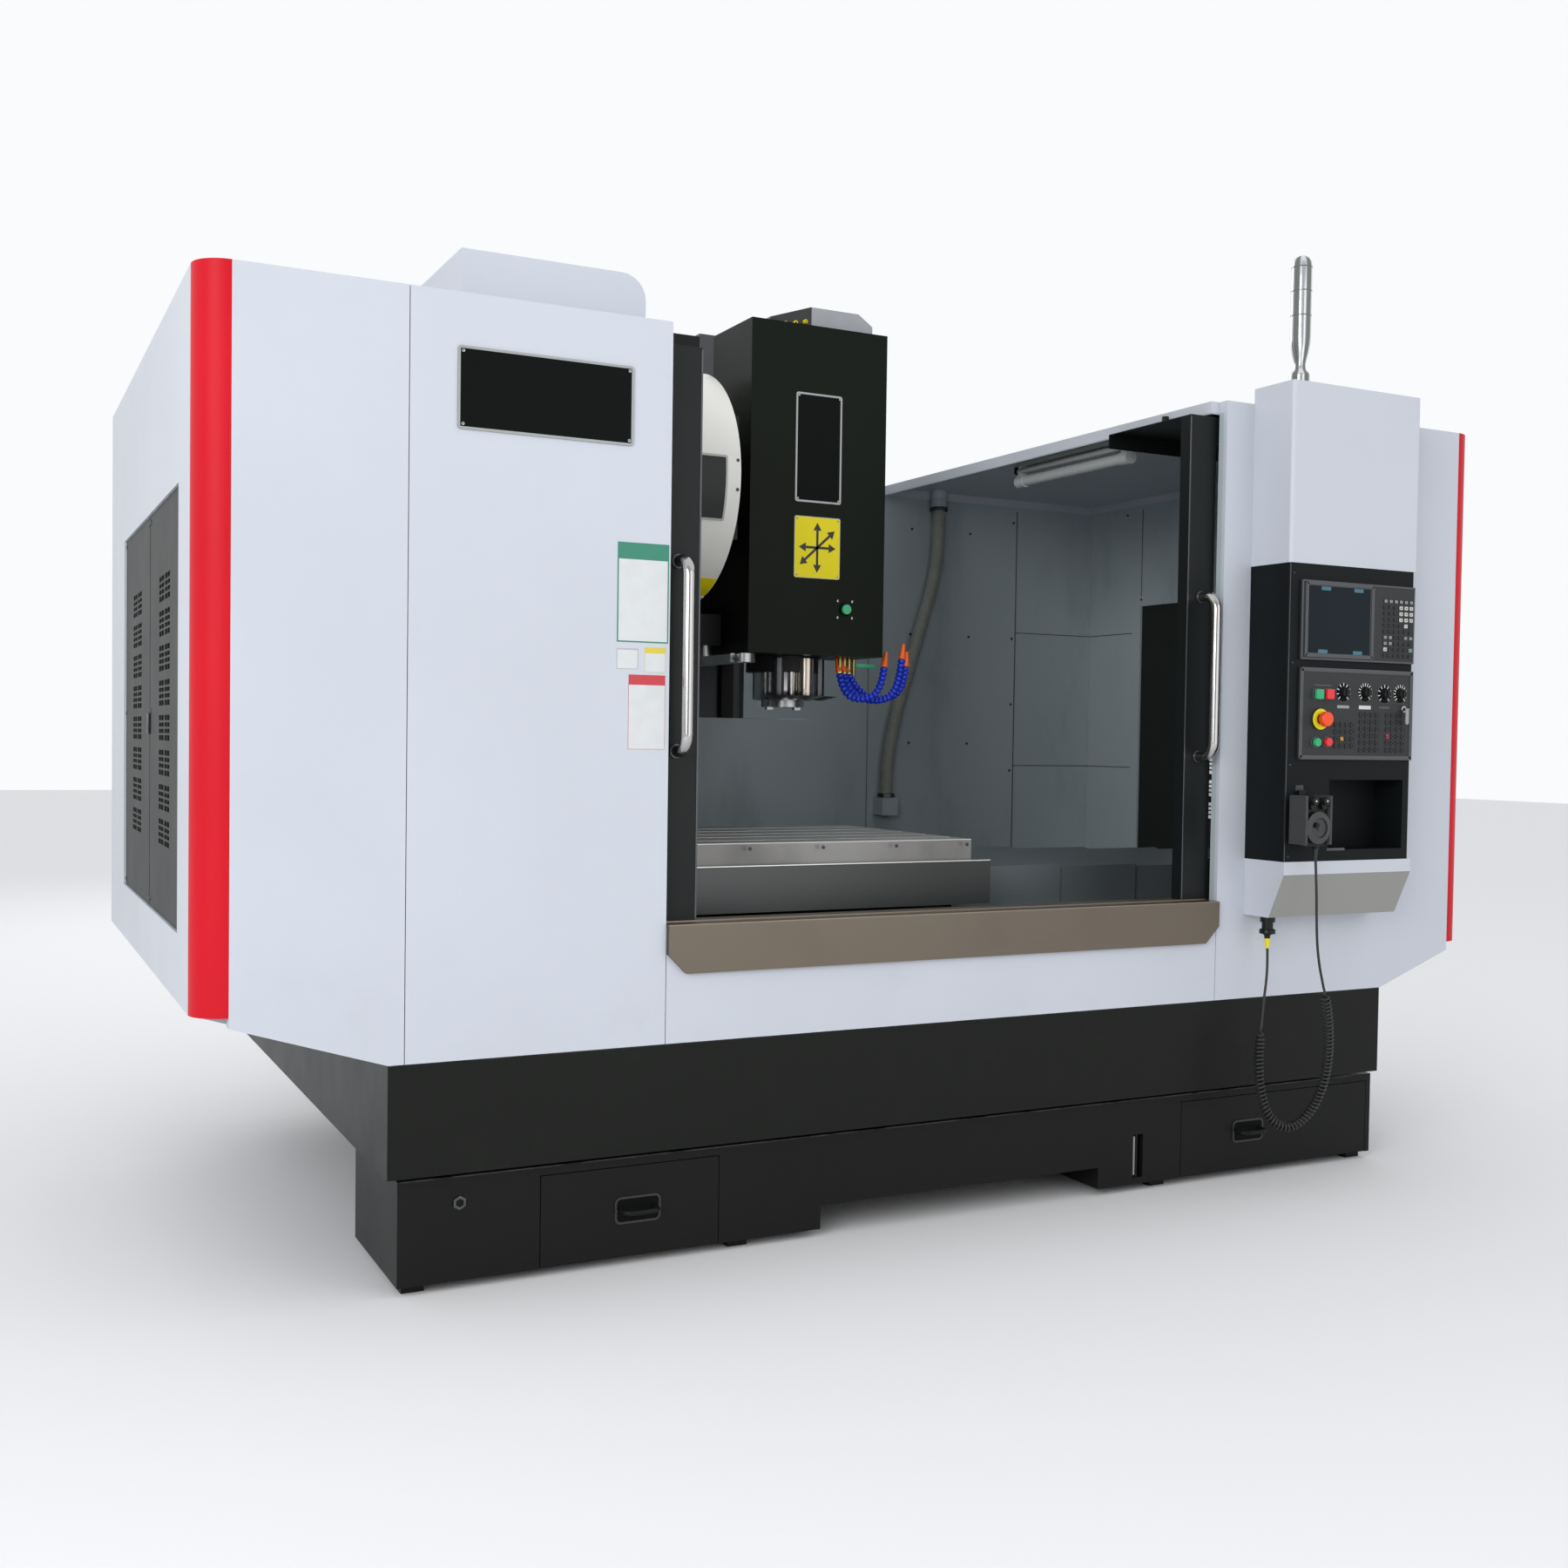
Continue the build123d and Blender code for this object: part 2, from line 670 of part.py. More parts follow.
# Saddle: it crosses the base, carries the X rails, the X screw and the X motor
carriage_length = 150
x_rail_front = table_centre_depth - x_rail_spacing / 2
x_rail_back = table_centre_depth + x_rail_spacing / 2
with BuildPart() as saddle:
    with BuildSketch(facing(saddle_front)):
        with BuildLine():
            Polyline(
                (-saddle_half, saddle_top), (-saddle_half, saddle_top - 60), (-y_rail_spacing / 2 - 90, saddle_bottom),
                (y_rail_spacing / 2 + 90, saddle_bottom), (saddle_half, saddle_top - 60), (saddle_half, saddle_top),
                close=True,
            )
        make_face()
    extrude(amount=-saddle_depth)
    block(-60, 60, saddle_front, saddle_back, saddle_bottom - 1, saddle_bottom + 8, mode=Mode.SUBTRACT)
    for side in (-1, 1):
        x = side * y_rail_spacing / 2
        for depth in (saddle_front, saddle_back - carriage_length):
            block(x - carriage_width / 2, x + carriage_width / 2, depth, depth + carriage_length,
                  base_top + rail_height + seat_gap, saddle_bottom)
    for depth in (x_rail_front, x_rail_back):
        block(-saddle_half, saddle_half, depth - rail_width / 2, depth + rail_width / 2,
              saddle_top, saddle_top + rail_height)
    with BuildSketch(sideways(-saddle_half + 60)):
        with Locations((behind(table_centre_depth), saddle_top + 5)):
            Circle(screw_diameter / 2)
    extrude(amount=2 * saddle_half - 120)
    block(saddle_half - 60, saddle_half, table_centre_depth - 50, table_centre_depth + 50, saddle_top, saddle_top + 55)
    block(saddle_half, saddle_half + 230, table_centre_depth - 60, table_centre_depth + 60, saddle_top - 60,
          saddle_top + 55)
save(saddle, "saddle")


def x_stage(number, low_x):
    # One stage of an X cover, open towards the table.
    inset = cover_step * number
    corners = roof_section(x_cover_half - inset, x_cover_eaves - inset, x_cover_ridge - inset, saddle_top + seat_gap)
    middle = behind(table_centre_depth)
    with BuildSketch(sideways(low_x)) as section:
        with BuildLine():
            Polyline(*[(middle + y, z) for y, z in corners], close=True)
        make_face()
    extrude(section.sketch, amount=x_cover_length)


# Sheet metal that rides with the saddle: shelves for the X covers, their fixed end stages, and the first Y stages
table_left = table_centre_x - table_length / 2
table_right = table_centre_x + table_length / 2
shelf_top = saddle_top
shelf_front = table_centre_depth - x_cover_half - 6
shelf_back = table_centre_depth + x_cover_half + 6
with BuildPart() as saddle_covers:
    for x0, x1 in ((-x_cover_end, -saddle_half - seat_gap), (saddle_half + seat_gap, x_cover_end)):
        block(x0, x1, shelf_front, shelf_front + shelf_width, shelf_top - shelf_height, shelf_top)
        block(x0, x1, shelf_back - shelf_width, shelf_back, shelf_top - shelf_height, shelf_top)
    for x0, x1 in ((-x_cover_end, -x_cover_end + 40), (x_cover_end - 40, x_cover_end)):
        block(x0, x1, shelf_front, shelf_back, shelf_top - shelf_height, shelf_top)
    x_stage(x_cover_stages - 1, x_cover_end - x_cover_length)
    x_stage(x_cover_stages - 1, -x_cover_end)
    y_stage(0, saddle_front - seat_gap - y_cover_length)
    y_stage(0, saddle_back + seat_gap)
save(saddle_covers, "saddle_covers")

# Stages between the table and the saddle ends, and between the saddle and the ends of the base
x_gap_right = (x_cover_end - table_right - x_cover_length) / (x_cover_stages - 1)
x_gap_left = (x_cover_end + table_left - x_cover_length) / (x_cover_stages - 1)
for number in range(1, x_cover_stages - 1):
    with BuildPart() as x_middle:
        x_stage(number, table_right + number * x_gap_right)
        x_stage(number, table_left - x_cover_length - number * x_gap_left)
    save(x_middle, f"x_cover_{number + 1}")
for number in range(1, y_cover_stages - 1):
    with BuildPart() as y_middle:
        y_stage(number, saddle_front - y_cover_length - number * y_gap_front)
        y_stage(number, saddle_back + number * y_gap_back)
    save(y_middle, f"y_cover_{number + 1}")
with BuildPart() as x_cover_1:
    x_stage(0, table_right + seat_gap)
    x_stage(0, table_left - seat_gap - x_cover_length)
save(x_cover_1, "x_cover_1")

# Table with T-slots, its carriages, and the coolant trough with the apron in front
slot_pitch = 125
slot_count = 5
slot_width = 18
slot_head = 32
slot_depth = 30
trough_top = table_top - 57
trough_floor = table_top - 73
apron_bottom = table_top - 175
with BuildPart() as table:
    with BuildSketch(sideways(table_left)) as table_section:
        with Locations((behind(table_centre_depth), table_top - table_thickness / 2)):
            Rectangle(table_width, table_thickness)
        with Locations((behind(table_centre_depth), table_top)):
            with GridLocations(slot_pitch, 0, slot_count, 1):
                Rectangle(slot_width, 2 * slot_depth, mode=Mode.SUBTRACT)
        with Locations((behind(table_centre_depth), table_top - slot_depth)):
            with GridLocations(slot_pitch, 0, slot_count, 1):
                Rectangle(slot_head, 14, mode=Mode.SUBTRACT)
    extrude(amount=table_length)
    for x in (table_centre_x - 250, table_centre_x + 250):
        for depth in (x_rail_front, x_rail_back):
            block(x - carriage_length / 2, x + carriage_length / 2, depth - carriage_width / 2,
                  depth + carriage_width / 2, saddle_top + rail_height + seat_gap, table_top - table_thickness)
    table_front = table_centre_depth - table_width / 2
    with BuildSketch(sideways(table_left)):
        with BuildLine():
            Polyline(
                (behind(table_front), trough_top), (behind(table_front), trough_floor),
                (behind(table_front - 14), trough_floor), (behind(table_front - 14), apron_bottom),
                (behind(table_front - 17), apron_bottom), (behind(table_front - 17), trough_top),
                (behind(table_front - 14), trough_top), (behind(table_front - 14), trough_floor + 3),
                (behind(table_front - 3), trough_floor + 3), (behind(table_front - 3), trough_top), close=True,
            )
        make_face()
    extrude(amount=table_length + 53)
save(table, "table")

# Head: casting with the spindle cartridge, folded cover, motor shroud and spindle
with BuildPart() as head_casting:
    with BuildSketch(sideways(-arm_half)):
        with BuildLine():
            Polyline(
                (behind(head_front + head_cover_depth - 20), arm_bottom - 20),
                (behind(column_front - slide_thickness - rail_height), arm_bottom),
                (behind(column_front - slide_thickness - rail_height), arm_top),
                (behind(head_front + head_cover_depth - 20), arm_top - 100), close=True,
            )
        make_face()
    extrude(amount=2 * arm_half)
    block(-slide_half, slide_half, column_front - slide_thickness - rail_height,
          column_front - rail_height - seat_gap, arm_bottom, arm_top)
    with BuildSketch(Plane.XY.offset(cartridge_bottom + 60)):
        with Locations((0, behind(spindle_depth))):
            Circle(cartridge_radius + 24)
    extrude(amount=700)
    with BuildSketch(Plane.XY.offset(cartridge_bottom)):
        with Locations((0, behind(spindle_depth))):
            Circle(cartridge_radius)
    extrude(amount=60)
    with BuildSketch(Plane.XY.offset(cartridge_bottom)):
        with Locations((0, behind(spindle_depth))):
            Circle(spindle_shaft_radius + running_gap)
    extrude(amount=400, mode=Mode.SUBTRACT)
save(head_casting, "head_casting")

with BuildPart() as spindle:
    spindle_y = behind(spindle_depth)
    with BuildSketch(Plane((0, spindle_y, 0), x_dir=(1, 0, 0), z_dir=(0, -1, 0))):
        with BuildLine():
            Polyline(
                (taper_mouth_radius, spindle_nose), (spindle_nose_radius, spindle_nose),
                (spindle_nose_radius, cartridge_bottom - 2), (spindle_shaft_radius, cartridge_bottom - 2),
                (spindle_shaft_radius, cartridge_bottom + 380), (0, cartridge_bottom + 380),
                (0, spindle_nose + taper_depth), (taper_mouth_radius - taper_depth * 7 / 48,
                                                  spindle_nose + taper_depth), close=True,
            )
        make_face()
    revolve(axis=Axis((0, spindle_y, 0), (0, 0, 1)))
    for side in (-1, 1):
        x = side * 46
        block(x - 10, x + 10, spindle_depth - 8, spindle_depth + 8, spindle_nose - 8, spindle_nose)
save(spindle, "spindle")

with BuildPart() as head_cover:
    block(-head_half, head_half, head_front, head_front + head_cover_depth, head_bottom, head_top)
    block(-head_half + sheet, head_half - sheet, head_front + sheet, head_front + head_cover_depth,
          head_bottom, head_top - sheet, mode=Mode.SUBTRACT)
    with BuildSketch(facing(head_front)):
        with Locations(release_spot):
            Circle(release_stem + running_gap)
    extrude(amount=-sheet, mode=Mode.SUBTRACT)
    with BuildSketch(Plane.XY.offset(head_bottom)):
        with Locations((0, behind(head_front + head_cover_depth / 2))):
            Rectangle(2 * head_half, head_cover_depth)
        with Locations((0, behind(spindle_depth))):
            Circle(cartridge_radius + 26, mode=Mode.SUBTRACT)
            with Locations((0, 100)):
                Rectangle(2 * cartridge_radius + 52, 200, mode=Mode.SUBTRACT)
    extrude(amount=sheet)
save(head_cover, "head_cover")

with BuildPart() as spindle_motor:
    with BuildSketch(facing(head_front + 50)) as motor_front:
        with BuildLine():
            Polyline((-140, head_top + seat_gap), (-140, head_top + 22), (-8, head_top + 66), (150, head_top + 66),
                     (198, head_top + 34), (198, head_top + seat_gap), close=True)
        make_face()
    extrude(amount=-190)
save(spindle_motor, "spindle_motor")

with BuildPart() as tool_release_button:
    with BuildSketch(facing(head_front - 14)):
        with Locations(release_spot):
            Circle(14)
    extrude(amount=-8)
    with BuildSketch(facing(head_front - 6)):
        with Locations(release_spot):
            Circle(release_stem)
    extrude(amount=-34)
save(tool_release_button, "tool_release_button")

# Coolant pipes under the head, each with a hose that bends up to an orange nozzle
hose_diameter = 22
hose_paths = (
    ((145, 885), (150, 870, 1330), (215, 850, 1318), (262, 836, 1350), (268, 832, 1420)),
    ((172, 905), (185, 895, 1345), (250, 880, 1338), (285, 872, 1360), (290, 868, 1430)),
    ((199, 925), (225, 905, 1335), (300, 892, 1322), (362, 880, 1352), (368, 876, 1450)),
)
with BuildPart() as coolant_nozzles:
    for (x, depth), *bends in hose_paths:
        points = [(x, behind(depth), head_bottom - seat_gap)] + [(px, behind(pd), pz) for px, pd, pz in bends]
        with BuildLine() as hose:
            FilletPolyline(*points, radius=22)
        start = Plane(points[0], x_dir=(1, 0, 0), z_dir=(0, 0, -1))
        with BuildSketch(start):
            Circle(hose_diameter / 2)
        sweep(path=hose.wires()[0])
        tip = Plane(points[-1], z_dir=Vector(*points[-1]) - Vector(*points[-2]))
        with BuildSketch(tip):
            Circle(13)
        with BuildSketch(tip.offset(46)):
            Circle(5)
        loft()
save(coolant_nozzles, "coolant_nozzles")

# Tool magazine: frame with the arm gearbox, disc with pots, drum cover and change arm
drum_y = behind(drum_depth)
plate_left = drum_right + seat_gap
plate_right = plate_left + 14
hub_radius = 55
disc_shaft_radius = 30
disc_right = -470
gearbox_left = drum_left + 40
gearbox_front = drum_depth + drum_radius + 27
gearbox_top = drum_height + 37
plate_bottom = drum_height - 173
plate_top = drum_height + 167
nose_half = 36
with BuildPart() as magazine_frame:
    block(gearbox_left, -guard_slot_half - 1, gearbox_front, guard_back, frame_nose_top, gearbox_top)
    block(plate_left, plate_right, drum_depth - 282, gearbox_front, plate_bottom, plate_top)
    with BuildSketch(sideways(plate_left - 20)):
        with Locations((drum_y, drum_height)):
            Circle(hub_radius)
    extrude(amount=plate_right - plate_left + 20)
    with BuildSketch(sideways(plate_left - 20)):
        with Locations((drum_y, drum_height)):
            Circle(disc_shaft_radius + running_gap)
    extrude(amount=plate_right - plate_left + 20, mode=Mode.SUBTRACT)
    block(arm_axis_x - nose_half, arm_axis_x + nose_half, spindle_depth - 40, gearbox_front,
          frame_nose_bottom, frame_nose_top)
    block(arm_axis_x - nose_half, arm_axis_x + nose_half, gearbox_front, gearbox_front + 120,
          frame_nose_bottom, frame_nose_top + 10)
    with BuildSketch(Plane.XY.offset(frame_nose_bottom)):
        with Locations((arm_axis_x, behind(spindle_depth))):
            Circle(25 + running_gap)
    extrude(amount=frame_nose_top - frame_nose_bottom - 10, mode=Mode.SUBTRACT)
save(magazine_frame, "magazine_frame")

with BuildPart() as magazine_disc:
    with BuildSketch(sideways(disc_right - 30)):
        with Locations((drum_y, drum_height)):
            Circle(250)
    extrude(amount=30)
    with BuildSketch(sideways(disc_right)):
        with Locations((drum_y, drum_height)):
            Circle(disc_shaft_radius)
    extrude(amount=plate_right - disc_right)
    with BuildSketch(sideways(disc_right - 90)):
        with Locations((drum_y, drum_height)):
            with PolarLocations(262, pot_count):
                RegularPolygon(30, 8)
    extrude(amount=110)
save(magazine_disc, "magazine_disc")

with BuildPart() as magazine_cover:
    round_x = drum_left + drum_round
    round_r = drum_radius - drum_round
    with BuildSketch(Plane((0, drum_y, drum_height), x_dir=(1, 0, 0), z_dir=(0, -1, 0))):
        with BuildLine():
            outer = CenterArc((round_x, round_r), drum_round, 90, 90)
            inner = CenterArc((round_x, round_r), drum_round - drum_wall, 90, 90)
            Polyline(outer @ 0, (drum_right, drum_radius), (drum_right, drum_radius - drum_wall), inner @ 0)
            Polyline(outer @ 1, (drum_left, 0), (drum_left + drum_wall, 0), inner @ 1)
        make_face()
    revolve(axis=Axis((0, drum_y, drum_height), (1, 0, 0)))
    block(drum_left, drum_right, drum_depth - drum_radius, drum_depth + drum_radius, drum_cut - 50, drum_cut,
          mode=Mode.SUBTRACT)
    block(drum_left + 50, drum_right - 47, drum_depth - drum_radius - 5, drum_depth - 250, drum_height - 123,
          drum_height + 39, mode=Mode.SUBTRACT)
save(magazine_cover, "magazine_cover")

with BuildPart() as change_arm:
    arm_top_z = change_arm_bottom + change_arm_thickness
    with BuildSketch(Plane.XY.offset(change_arm_bottom)) as arm_outline:
        with Locations((arm_axis_x, behind(spindle_depth))):
            Circle(34)
            Rectangle(44, 2 * change_arm_reach)
            for side in (-1, 1):
                with Locations((0, side * change_arm_reach)):
                    Circle(35)
                    Circle(23, mode=Mode.SUBTRACT)
                    with Locations((side * 20, side * 12)):
                        Rectangle(40, 30, mode=Mode.SUBTRACT)
    extrude(amount=change_arm_thickness)
    with BuildSketch(Plane.XY.offset(arm_top_z)):
        with Locations((arm_axis_x, behind(spindle_depth))):
            Circle(25)
    extrude(amount=frame_nose_top - 10 - arm_top_z - seat_gap)
save(change_arm, "change_arm")

# Operator station: white box and tray, black console, panels, knobs and buttons
tray_side = [(0, tray_bottom), (0, console_bottom), (-box_reach, console_bottom), (-box_reach, tray_step),
             (-tray_back_reach, tray_bottom)]
with BuildPart() as operator_box:
    block(box_left, box_right, -box_reach, -seat_gap, box_bottom, box_top)
    fillet(operator_box.edges().filter_by(Axis.Z).group_by(Axis.Y)[0], 10)
    with BuildSketch(sideways(box_left)):
        with BuildLine():
            Polyline(*[(behind(min(depth, -seat_gap)), z) for depth, z in tray_side], close=True)
        make_face()
    extrude(amount=box_right - box_left)
save(operator_box, "operator_box")

with BuildPart() as console_housing:
    block(box_left, console_right, -box_reach, -seat_gap, console_bottom + seat_gap, box_bottom - seat_gap)
    fillet(console_housing.edges().filter_by(Axis.Z).group_by(Axis.Y)[0], 8)
    block(recess_left, recess_right, -box_reach, -box_reach + recess_depth, recess_bottom, recess_top,
          mode=Mode.SUBTRACT)
save(console_housing, "console_housing")

console_face = -box_reach - seat_gap
button_spots = {
    "e_stop_button": (1041, 1273), "cycle_start_button": (1027, 1211), "feed_hold_button": (1068, 1212),
    "power_on_button": (1032, 1340), "power_off_button": (1070, 1341),
}
knob_spots = {"mode_knob": (1128, 1347), "feed_knob": (1209, 1349), "rapid_knob": (1282, 1346),
              "spindle_knob": (1342, 1348)}
plate_face = console_face - panel_thickness
collar_radius = 28
with BuildPart() as control_panels:
    block(panel_left, panel_right, plate_face, console_face, display_bottom, display_top)
    block(panel_left, panel_right, plate_face, console_face, panel_bottom, panel_top)
    block(990, 1226, plate_face - 2, plate_face + 3, 1446, 1634, mode=Mode.SUBTRACT)
    with BuildSketch(facing(plate_face)):
        with Locations((1327, 1527)):
            with GridLocations(19.5, 16.5, 6, 10):
                Rectangle(13, 10)
        for centre, columns, rows in (((1134, 1231), 4, 4), ((1227, 1240), 4, 6), ((1326, 1240), 4, 6)):
            with Locations(centre):
                with GridLocations(20, 19, columns, rows):
                    Rectangle(13, 12)
    extrude(amount=2)
    with BuildSketch(facing(plate_face)):
        with Locations(button_spots["e_stop_button"]):
            Circle(collar_radius)
    extrude(amount=6)
    with BuildSketch(facing(plate_face - 6)):
        with Locations(*button_spots.values(), *knob_spots.values()):
            Circle(control_stem + running_gap)
    extrude(amount=-panel_thickness - 6, mode=Mode.SUBTRACT)
save(control_panels, "control_panels")

# Each control has a stem through the plate, and a cap that stands clear of it by its travel
push_travel = 4
stem_inside = panel_thickness - 1


def stem(spot, front):
    with BuildSketch(facing(front)) as section:
        with Locations(spot):
            Circle(control_stem)
    extrude(section.sketch, amount=front - plate_face - stem_inside + push_travel)


for name, cap in (("cycle_start_button", 11), ("feed_hold_button", 11)):
    with BuildPart() as round_button:
        stem(button_spots[name], plate_face - push_travel - 1)
        with BuildSketch(facing(plate_face - push_travel - 1)):
            with Locations(button_spots[name]):
                Circle(cap)
        extrude(amount=9)
    save(round_button, name)
for name in ("power_on_button", "power_off_button"):
    with BuildPart() as square_button:
        stem(button_spots[name], plate_face - push_travel - 1)
        with BuildSketch(facing(plate_face - push_travel - 1)) as cap:
            with Locations(button_spots[name]):
                Rectangle(26, 26)
            fillet(cap.vertices(), 3)
        extrude(amount=8)
    save(square_button, name)
with BuildPart() as e_stop_button:
    cap_back = plate_face - 6 - push_travel - 2
    stem(button_spots["e_stop_button"], cap_back)
    with BuildSketch(facing(cap_back)):
        with Locations(button_spots["e_stop_button"]):
            Circle(13)
    extrude(amount=8)
    with BuildSketch(facing(cap_back - 8)):
        with Locations(button_spots["e_stop_button"]):
            Circle(20)
    extrude(amount=16)
    fillet(e_stop_button.faces().sort_by(Axis.Y)[0].edges(), 7)
save(e_stop_button, "e_stop_button")
for name, spot in knob_spots.items():
    with BuildPart() as knob:
        stem(spot, plate_face - 1)
        with BuildSketch(facing(plate_face - 1)) as grip:
            with Locations(spot):
                Circle(14)
        extrude(amount=12, taper=8)
        with BuildSketch(facing(plate_face - 13)):
            with Locations(spot):
                Rectangle(5, 22)
        extrude(amount=3)
    save(knob, name)

# Signal tower: foot, waisted post, lens and cap
with BuildPart() as signal_tower:
    tower_x = 1022
    tower_y = behind(-74)
    with BuildSketch(Plane((tower_x, tower_y, 0), x_dir=(1, 0, 0), z_dir=(0, -1, 0))):
        with BuildLine():
            Polyline(
                (0, box_top + seat_gap), (28, box_top + seat_gap), (28, box_top + 36), (18, box_top + 60),
                (18, box_top + 92), (27, box_top + 118), (27, box_top + 338), (20, box_top + 352),
                (0, box_top + 356), close=True,
            )
        make_face()
    revolve(axis=Axis((tower_x, tower_y, 0), (0, 0, 1)))
save(signal_tower, "signal_tower")

# Handwheel pendant on a hook beside the recess
pendant_face = -box_reach - seat_gap
pendant_left = 938
pendant_right = 1026
pendant_low = 936
pendant_high = 1064
pendant_x = (pendant_left + pendant_right) / 2
dial_z = 985
with BuildPart() as pendant_body:
    block(pendant_left, pendant_right, pendant_face - 62, pendant_face - 12, pendant_low, pendant_high)
    fillet(pendant_body.edges().filter_by(Axis.Y), 14)
    block(pendant_x - 12, pendant_x + 12, pendant_face - 12, pendant_face, pendant_high - 60, pendant_high + 18)
    with BuildSketch(Plane.XY.offset(pendant_low)):
        with Locations((1003, behind(-190))):
            Circle(9)
    extrude(amount=-10, taper=12)
    with BuildSketch(facing(pendant_face - 62)):
        with Locations((pendant_x - 20, 1042), (pendant_x + 20, 1042)):
            Circle(9)
    extrude(amount=10)
    with BuildSketch(facing(pendant_face - 62)):
        with Locations((pendant_x, dial_z)):
            Circle(6 + running_gap)
    extrude(amount=-20, mode=Mode.SUBTRACT)
save(pendant_body, "pendant_body")
dial_front = -pendant_reach
with BuildPart() as handwheel_dial:
    with BuildSketch(facing(dial_front + 8)):
        with Locations((pendant_x, dial_z)):
            Circle(34)
    extrude(amount=-(pendant_face - 62 - dial_front - 8 - 0.5))
    with BuildSketch(facing(dial_front)):
        with Locations((pendant_x + 18, dial_z + 12)):
            Circle(6)
    extrude(amount=-8)
    with BuildSketch(facing(pendant_face - 62.5)):
        with Locations((pendant_x, dial_z)):
            Circle(6)
    extrude(amount=-18)
save(handwheel_dial, "handwheel_dial")


# Pendant cord: straight runs joined by tangent arcs
def corner_radii(points):
    radii = []
    for before, corner, after in zip(points, points[1:], points[2:]):
        run_in = Vector(*corner) - Vector(*before)
        run_out = Vector(*after) - Vector(*corner)
        turn = run_in.get_angle(run_out)
        radii.append(0.45 * min(run_in.length, run_out.length) / tan(radians(turn / 2)))
    return radii


def cord_tube(name, points, diameter, far_gap=0):
    # The tube starts a hair after the end face that it meets, and may stop as far before the last one.
    first_run = Vector(*points[1]) - Vector(*points[0])
    last_run = Vector(*points[-1]) - Vector(*points[-2])
    first = tuple(Vector(*points[0]) + first_run.normalized() * end_gap)
    last = tuple(Vector(*points[-1]) - last_run.normalized() * far_gap)
    points = [first, *points[1:-1], last]
    radii = corner_radii(points)
    with BuildPart() as cord:
        with BuildLine() as route:
            FilletPolyline(*points, radius=radii)
        start = Plane(points[0], z_dir=Vector(*points[1]) - Vector(*points[0]))
        with BuildSketch(start):
            Circle(diameter / 2)
        sweep(path=route.wires()[0])
    print(name, "length", round(route.wires()[0].length, 1), "radii", [round(r) for r in radii])
    save(cord, name)


plug_x = 955
plug_depth = -70
lead_route = [(1003, -190, 926), (1007, -190, 872), (1014, -190, 806), (1018, -190, 738), (1024, -190, 672),
              (1036, -190, 612), (1056, -189, 556)]
curl_route = [(1056, -189, 556), (1079, -187, 474), (1090, -182, 386), (1078, -172, 300), (1044, -157, 222),
              (985, -140, 172), (924, -124, 204), (903, -110, 280), (908, -98, 366), (924, -88, 446)]
plug_route = [(924, -88, 446), (936, -82, 510), (952, -75, 570), (958, plug_depth, 626),
              (plug_x, plug_depth, 676.5)]
for cord_name, route, cord_diameter in (("pendant_lead", lead_route, lead_diameter),
                                        ("curly_cord", curl_route, curl_diameter),
                                        ("plug_lead", plug_route, lead_diameter)):
    cord_tube(cord_name, [(x, behind(depth), z) for x, depth, z in route], cord_diameter)

# Plug under the tray
with BuildPart() as pendant_plug:
    plug_top = tray_bottom - seat_gap
    plug_y = behind(plug_depth)
    with BuildSketch(Plane((plug_x, plug_y, 0), x_dir=(1, 0, 0), z_dir=(0, -1, 0))):
        with BuildLine():
            Polyline((0, plug_top), (20, plug_top), (20, plug_top - 14), (15, plug_top - 14), (15, plug_top - 44),
                     (8, plug_top - 52), (8, 677), (0, 677), close=True)
        make_face()
    revolve(axis=Axis((plug_x, plug_y, 0), (0, 0, 1)))
save(pendant_plug, "pendant_plug")

# Tube lamp under the right roof, with its end caps and brackets
with BuildPart() as work_lamp:
    lamp_x = 910
    lamp_z = 2058
    with BuildSketch(facing(490)):
        with Locations((lamp_x, lamp_z)):
            Circle(17)
    extrude(amount=-572)
    for depth in (490, 1022):
        with BuildSketch(facing(depth)):
            with Locations((lamp_x, lamp_z)):
                Circle(20.5)
        extrude(amount=-40)
        block(lamp_x - 12, lamp_x + 12, depth + 8, depth + 32, lamp_z, enclosure_top - sheet - seat_gap)
save(work_lamp, "work_lamp")

# Flexible conduit along the rear wall, from the gland in the roof to the outlet box on the wall
cord_tube("conduit", [(x, behind(conduit_depth), z) for x, z in conduit_route], conduit_diameter, end_gap)
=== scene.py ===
from math import cos, pi, sin

import bmesh
import bpy
from mathutils import Matrix, Vector


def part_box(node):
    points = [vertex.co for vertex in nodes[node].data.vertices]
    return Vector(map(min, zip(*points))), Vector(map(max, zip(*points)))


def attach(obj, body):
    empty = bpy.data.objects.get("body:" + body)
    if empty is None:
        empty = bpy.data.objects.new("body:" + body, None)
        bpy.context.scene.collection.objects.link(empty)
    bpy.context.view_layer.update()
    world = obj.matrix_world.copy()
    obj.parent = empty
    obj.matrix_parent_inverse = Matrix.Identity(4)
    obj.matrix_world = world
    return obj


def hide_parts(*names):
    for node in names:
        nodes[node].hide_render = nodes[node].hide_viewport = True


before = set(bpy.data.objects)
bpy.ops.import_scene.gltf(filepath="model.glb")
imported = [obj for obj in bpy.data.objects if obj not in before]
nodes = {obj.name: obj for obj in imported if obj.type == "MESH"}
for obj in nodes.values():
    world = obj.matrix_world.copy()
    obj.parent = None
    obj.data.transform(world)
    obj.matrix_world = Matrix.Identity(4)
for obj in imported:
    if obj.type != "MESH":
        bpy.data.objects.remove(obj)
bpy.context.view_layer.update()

frontY = -1.2415   # the front sheets stand at this Y


def at(x, depth, z):
    # a point from its x, depth behind the front sheets and height, in millimetres
    return Vector((x / 1000, frontY + depth / 1000, z / 1000))


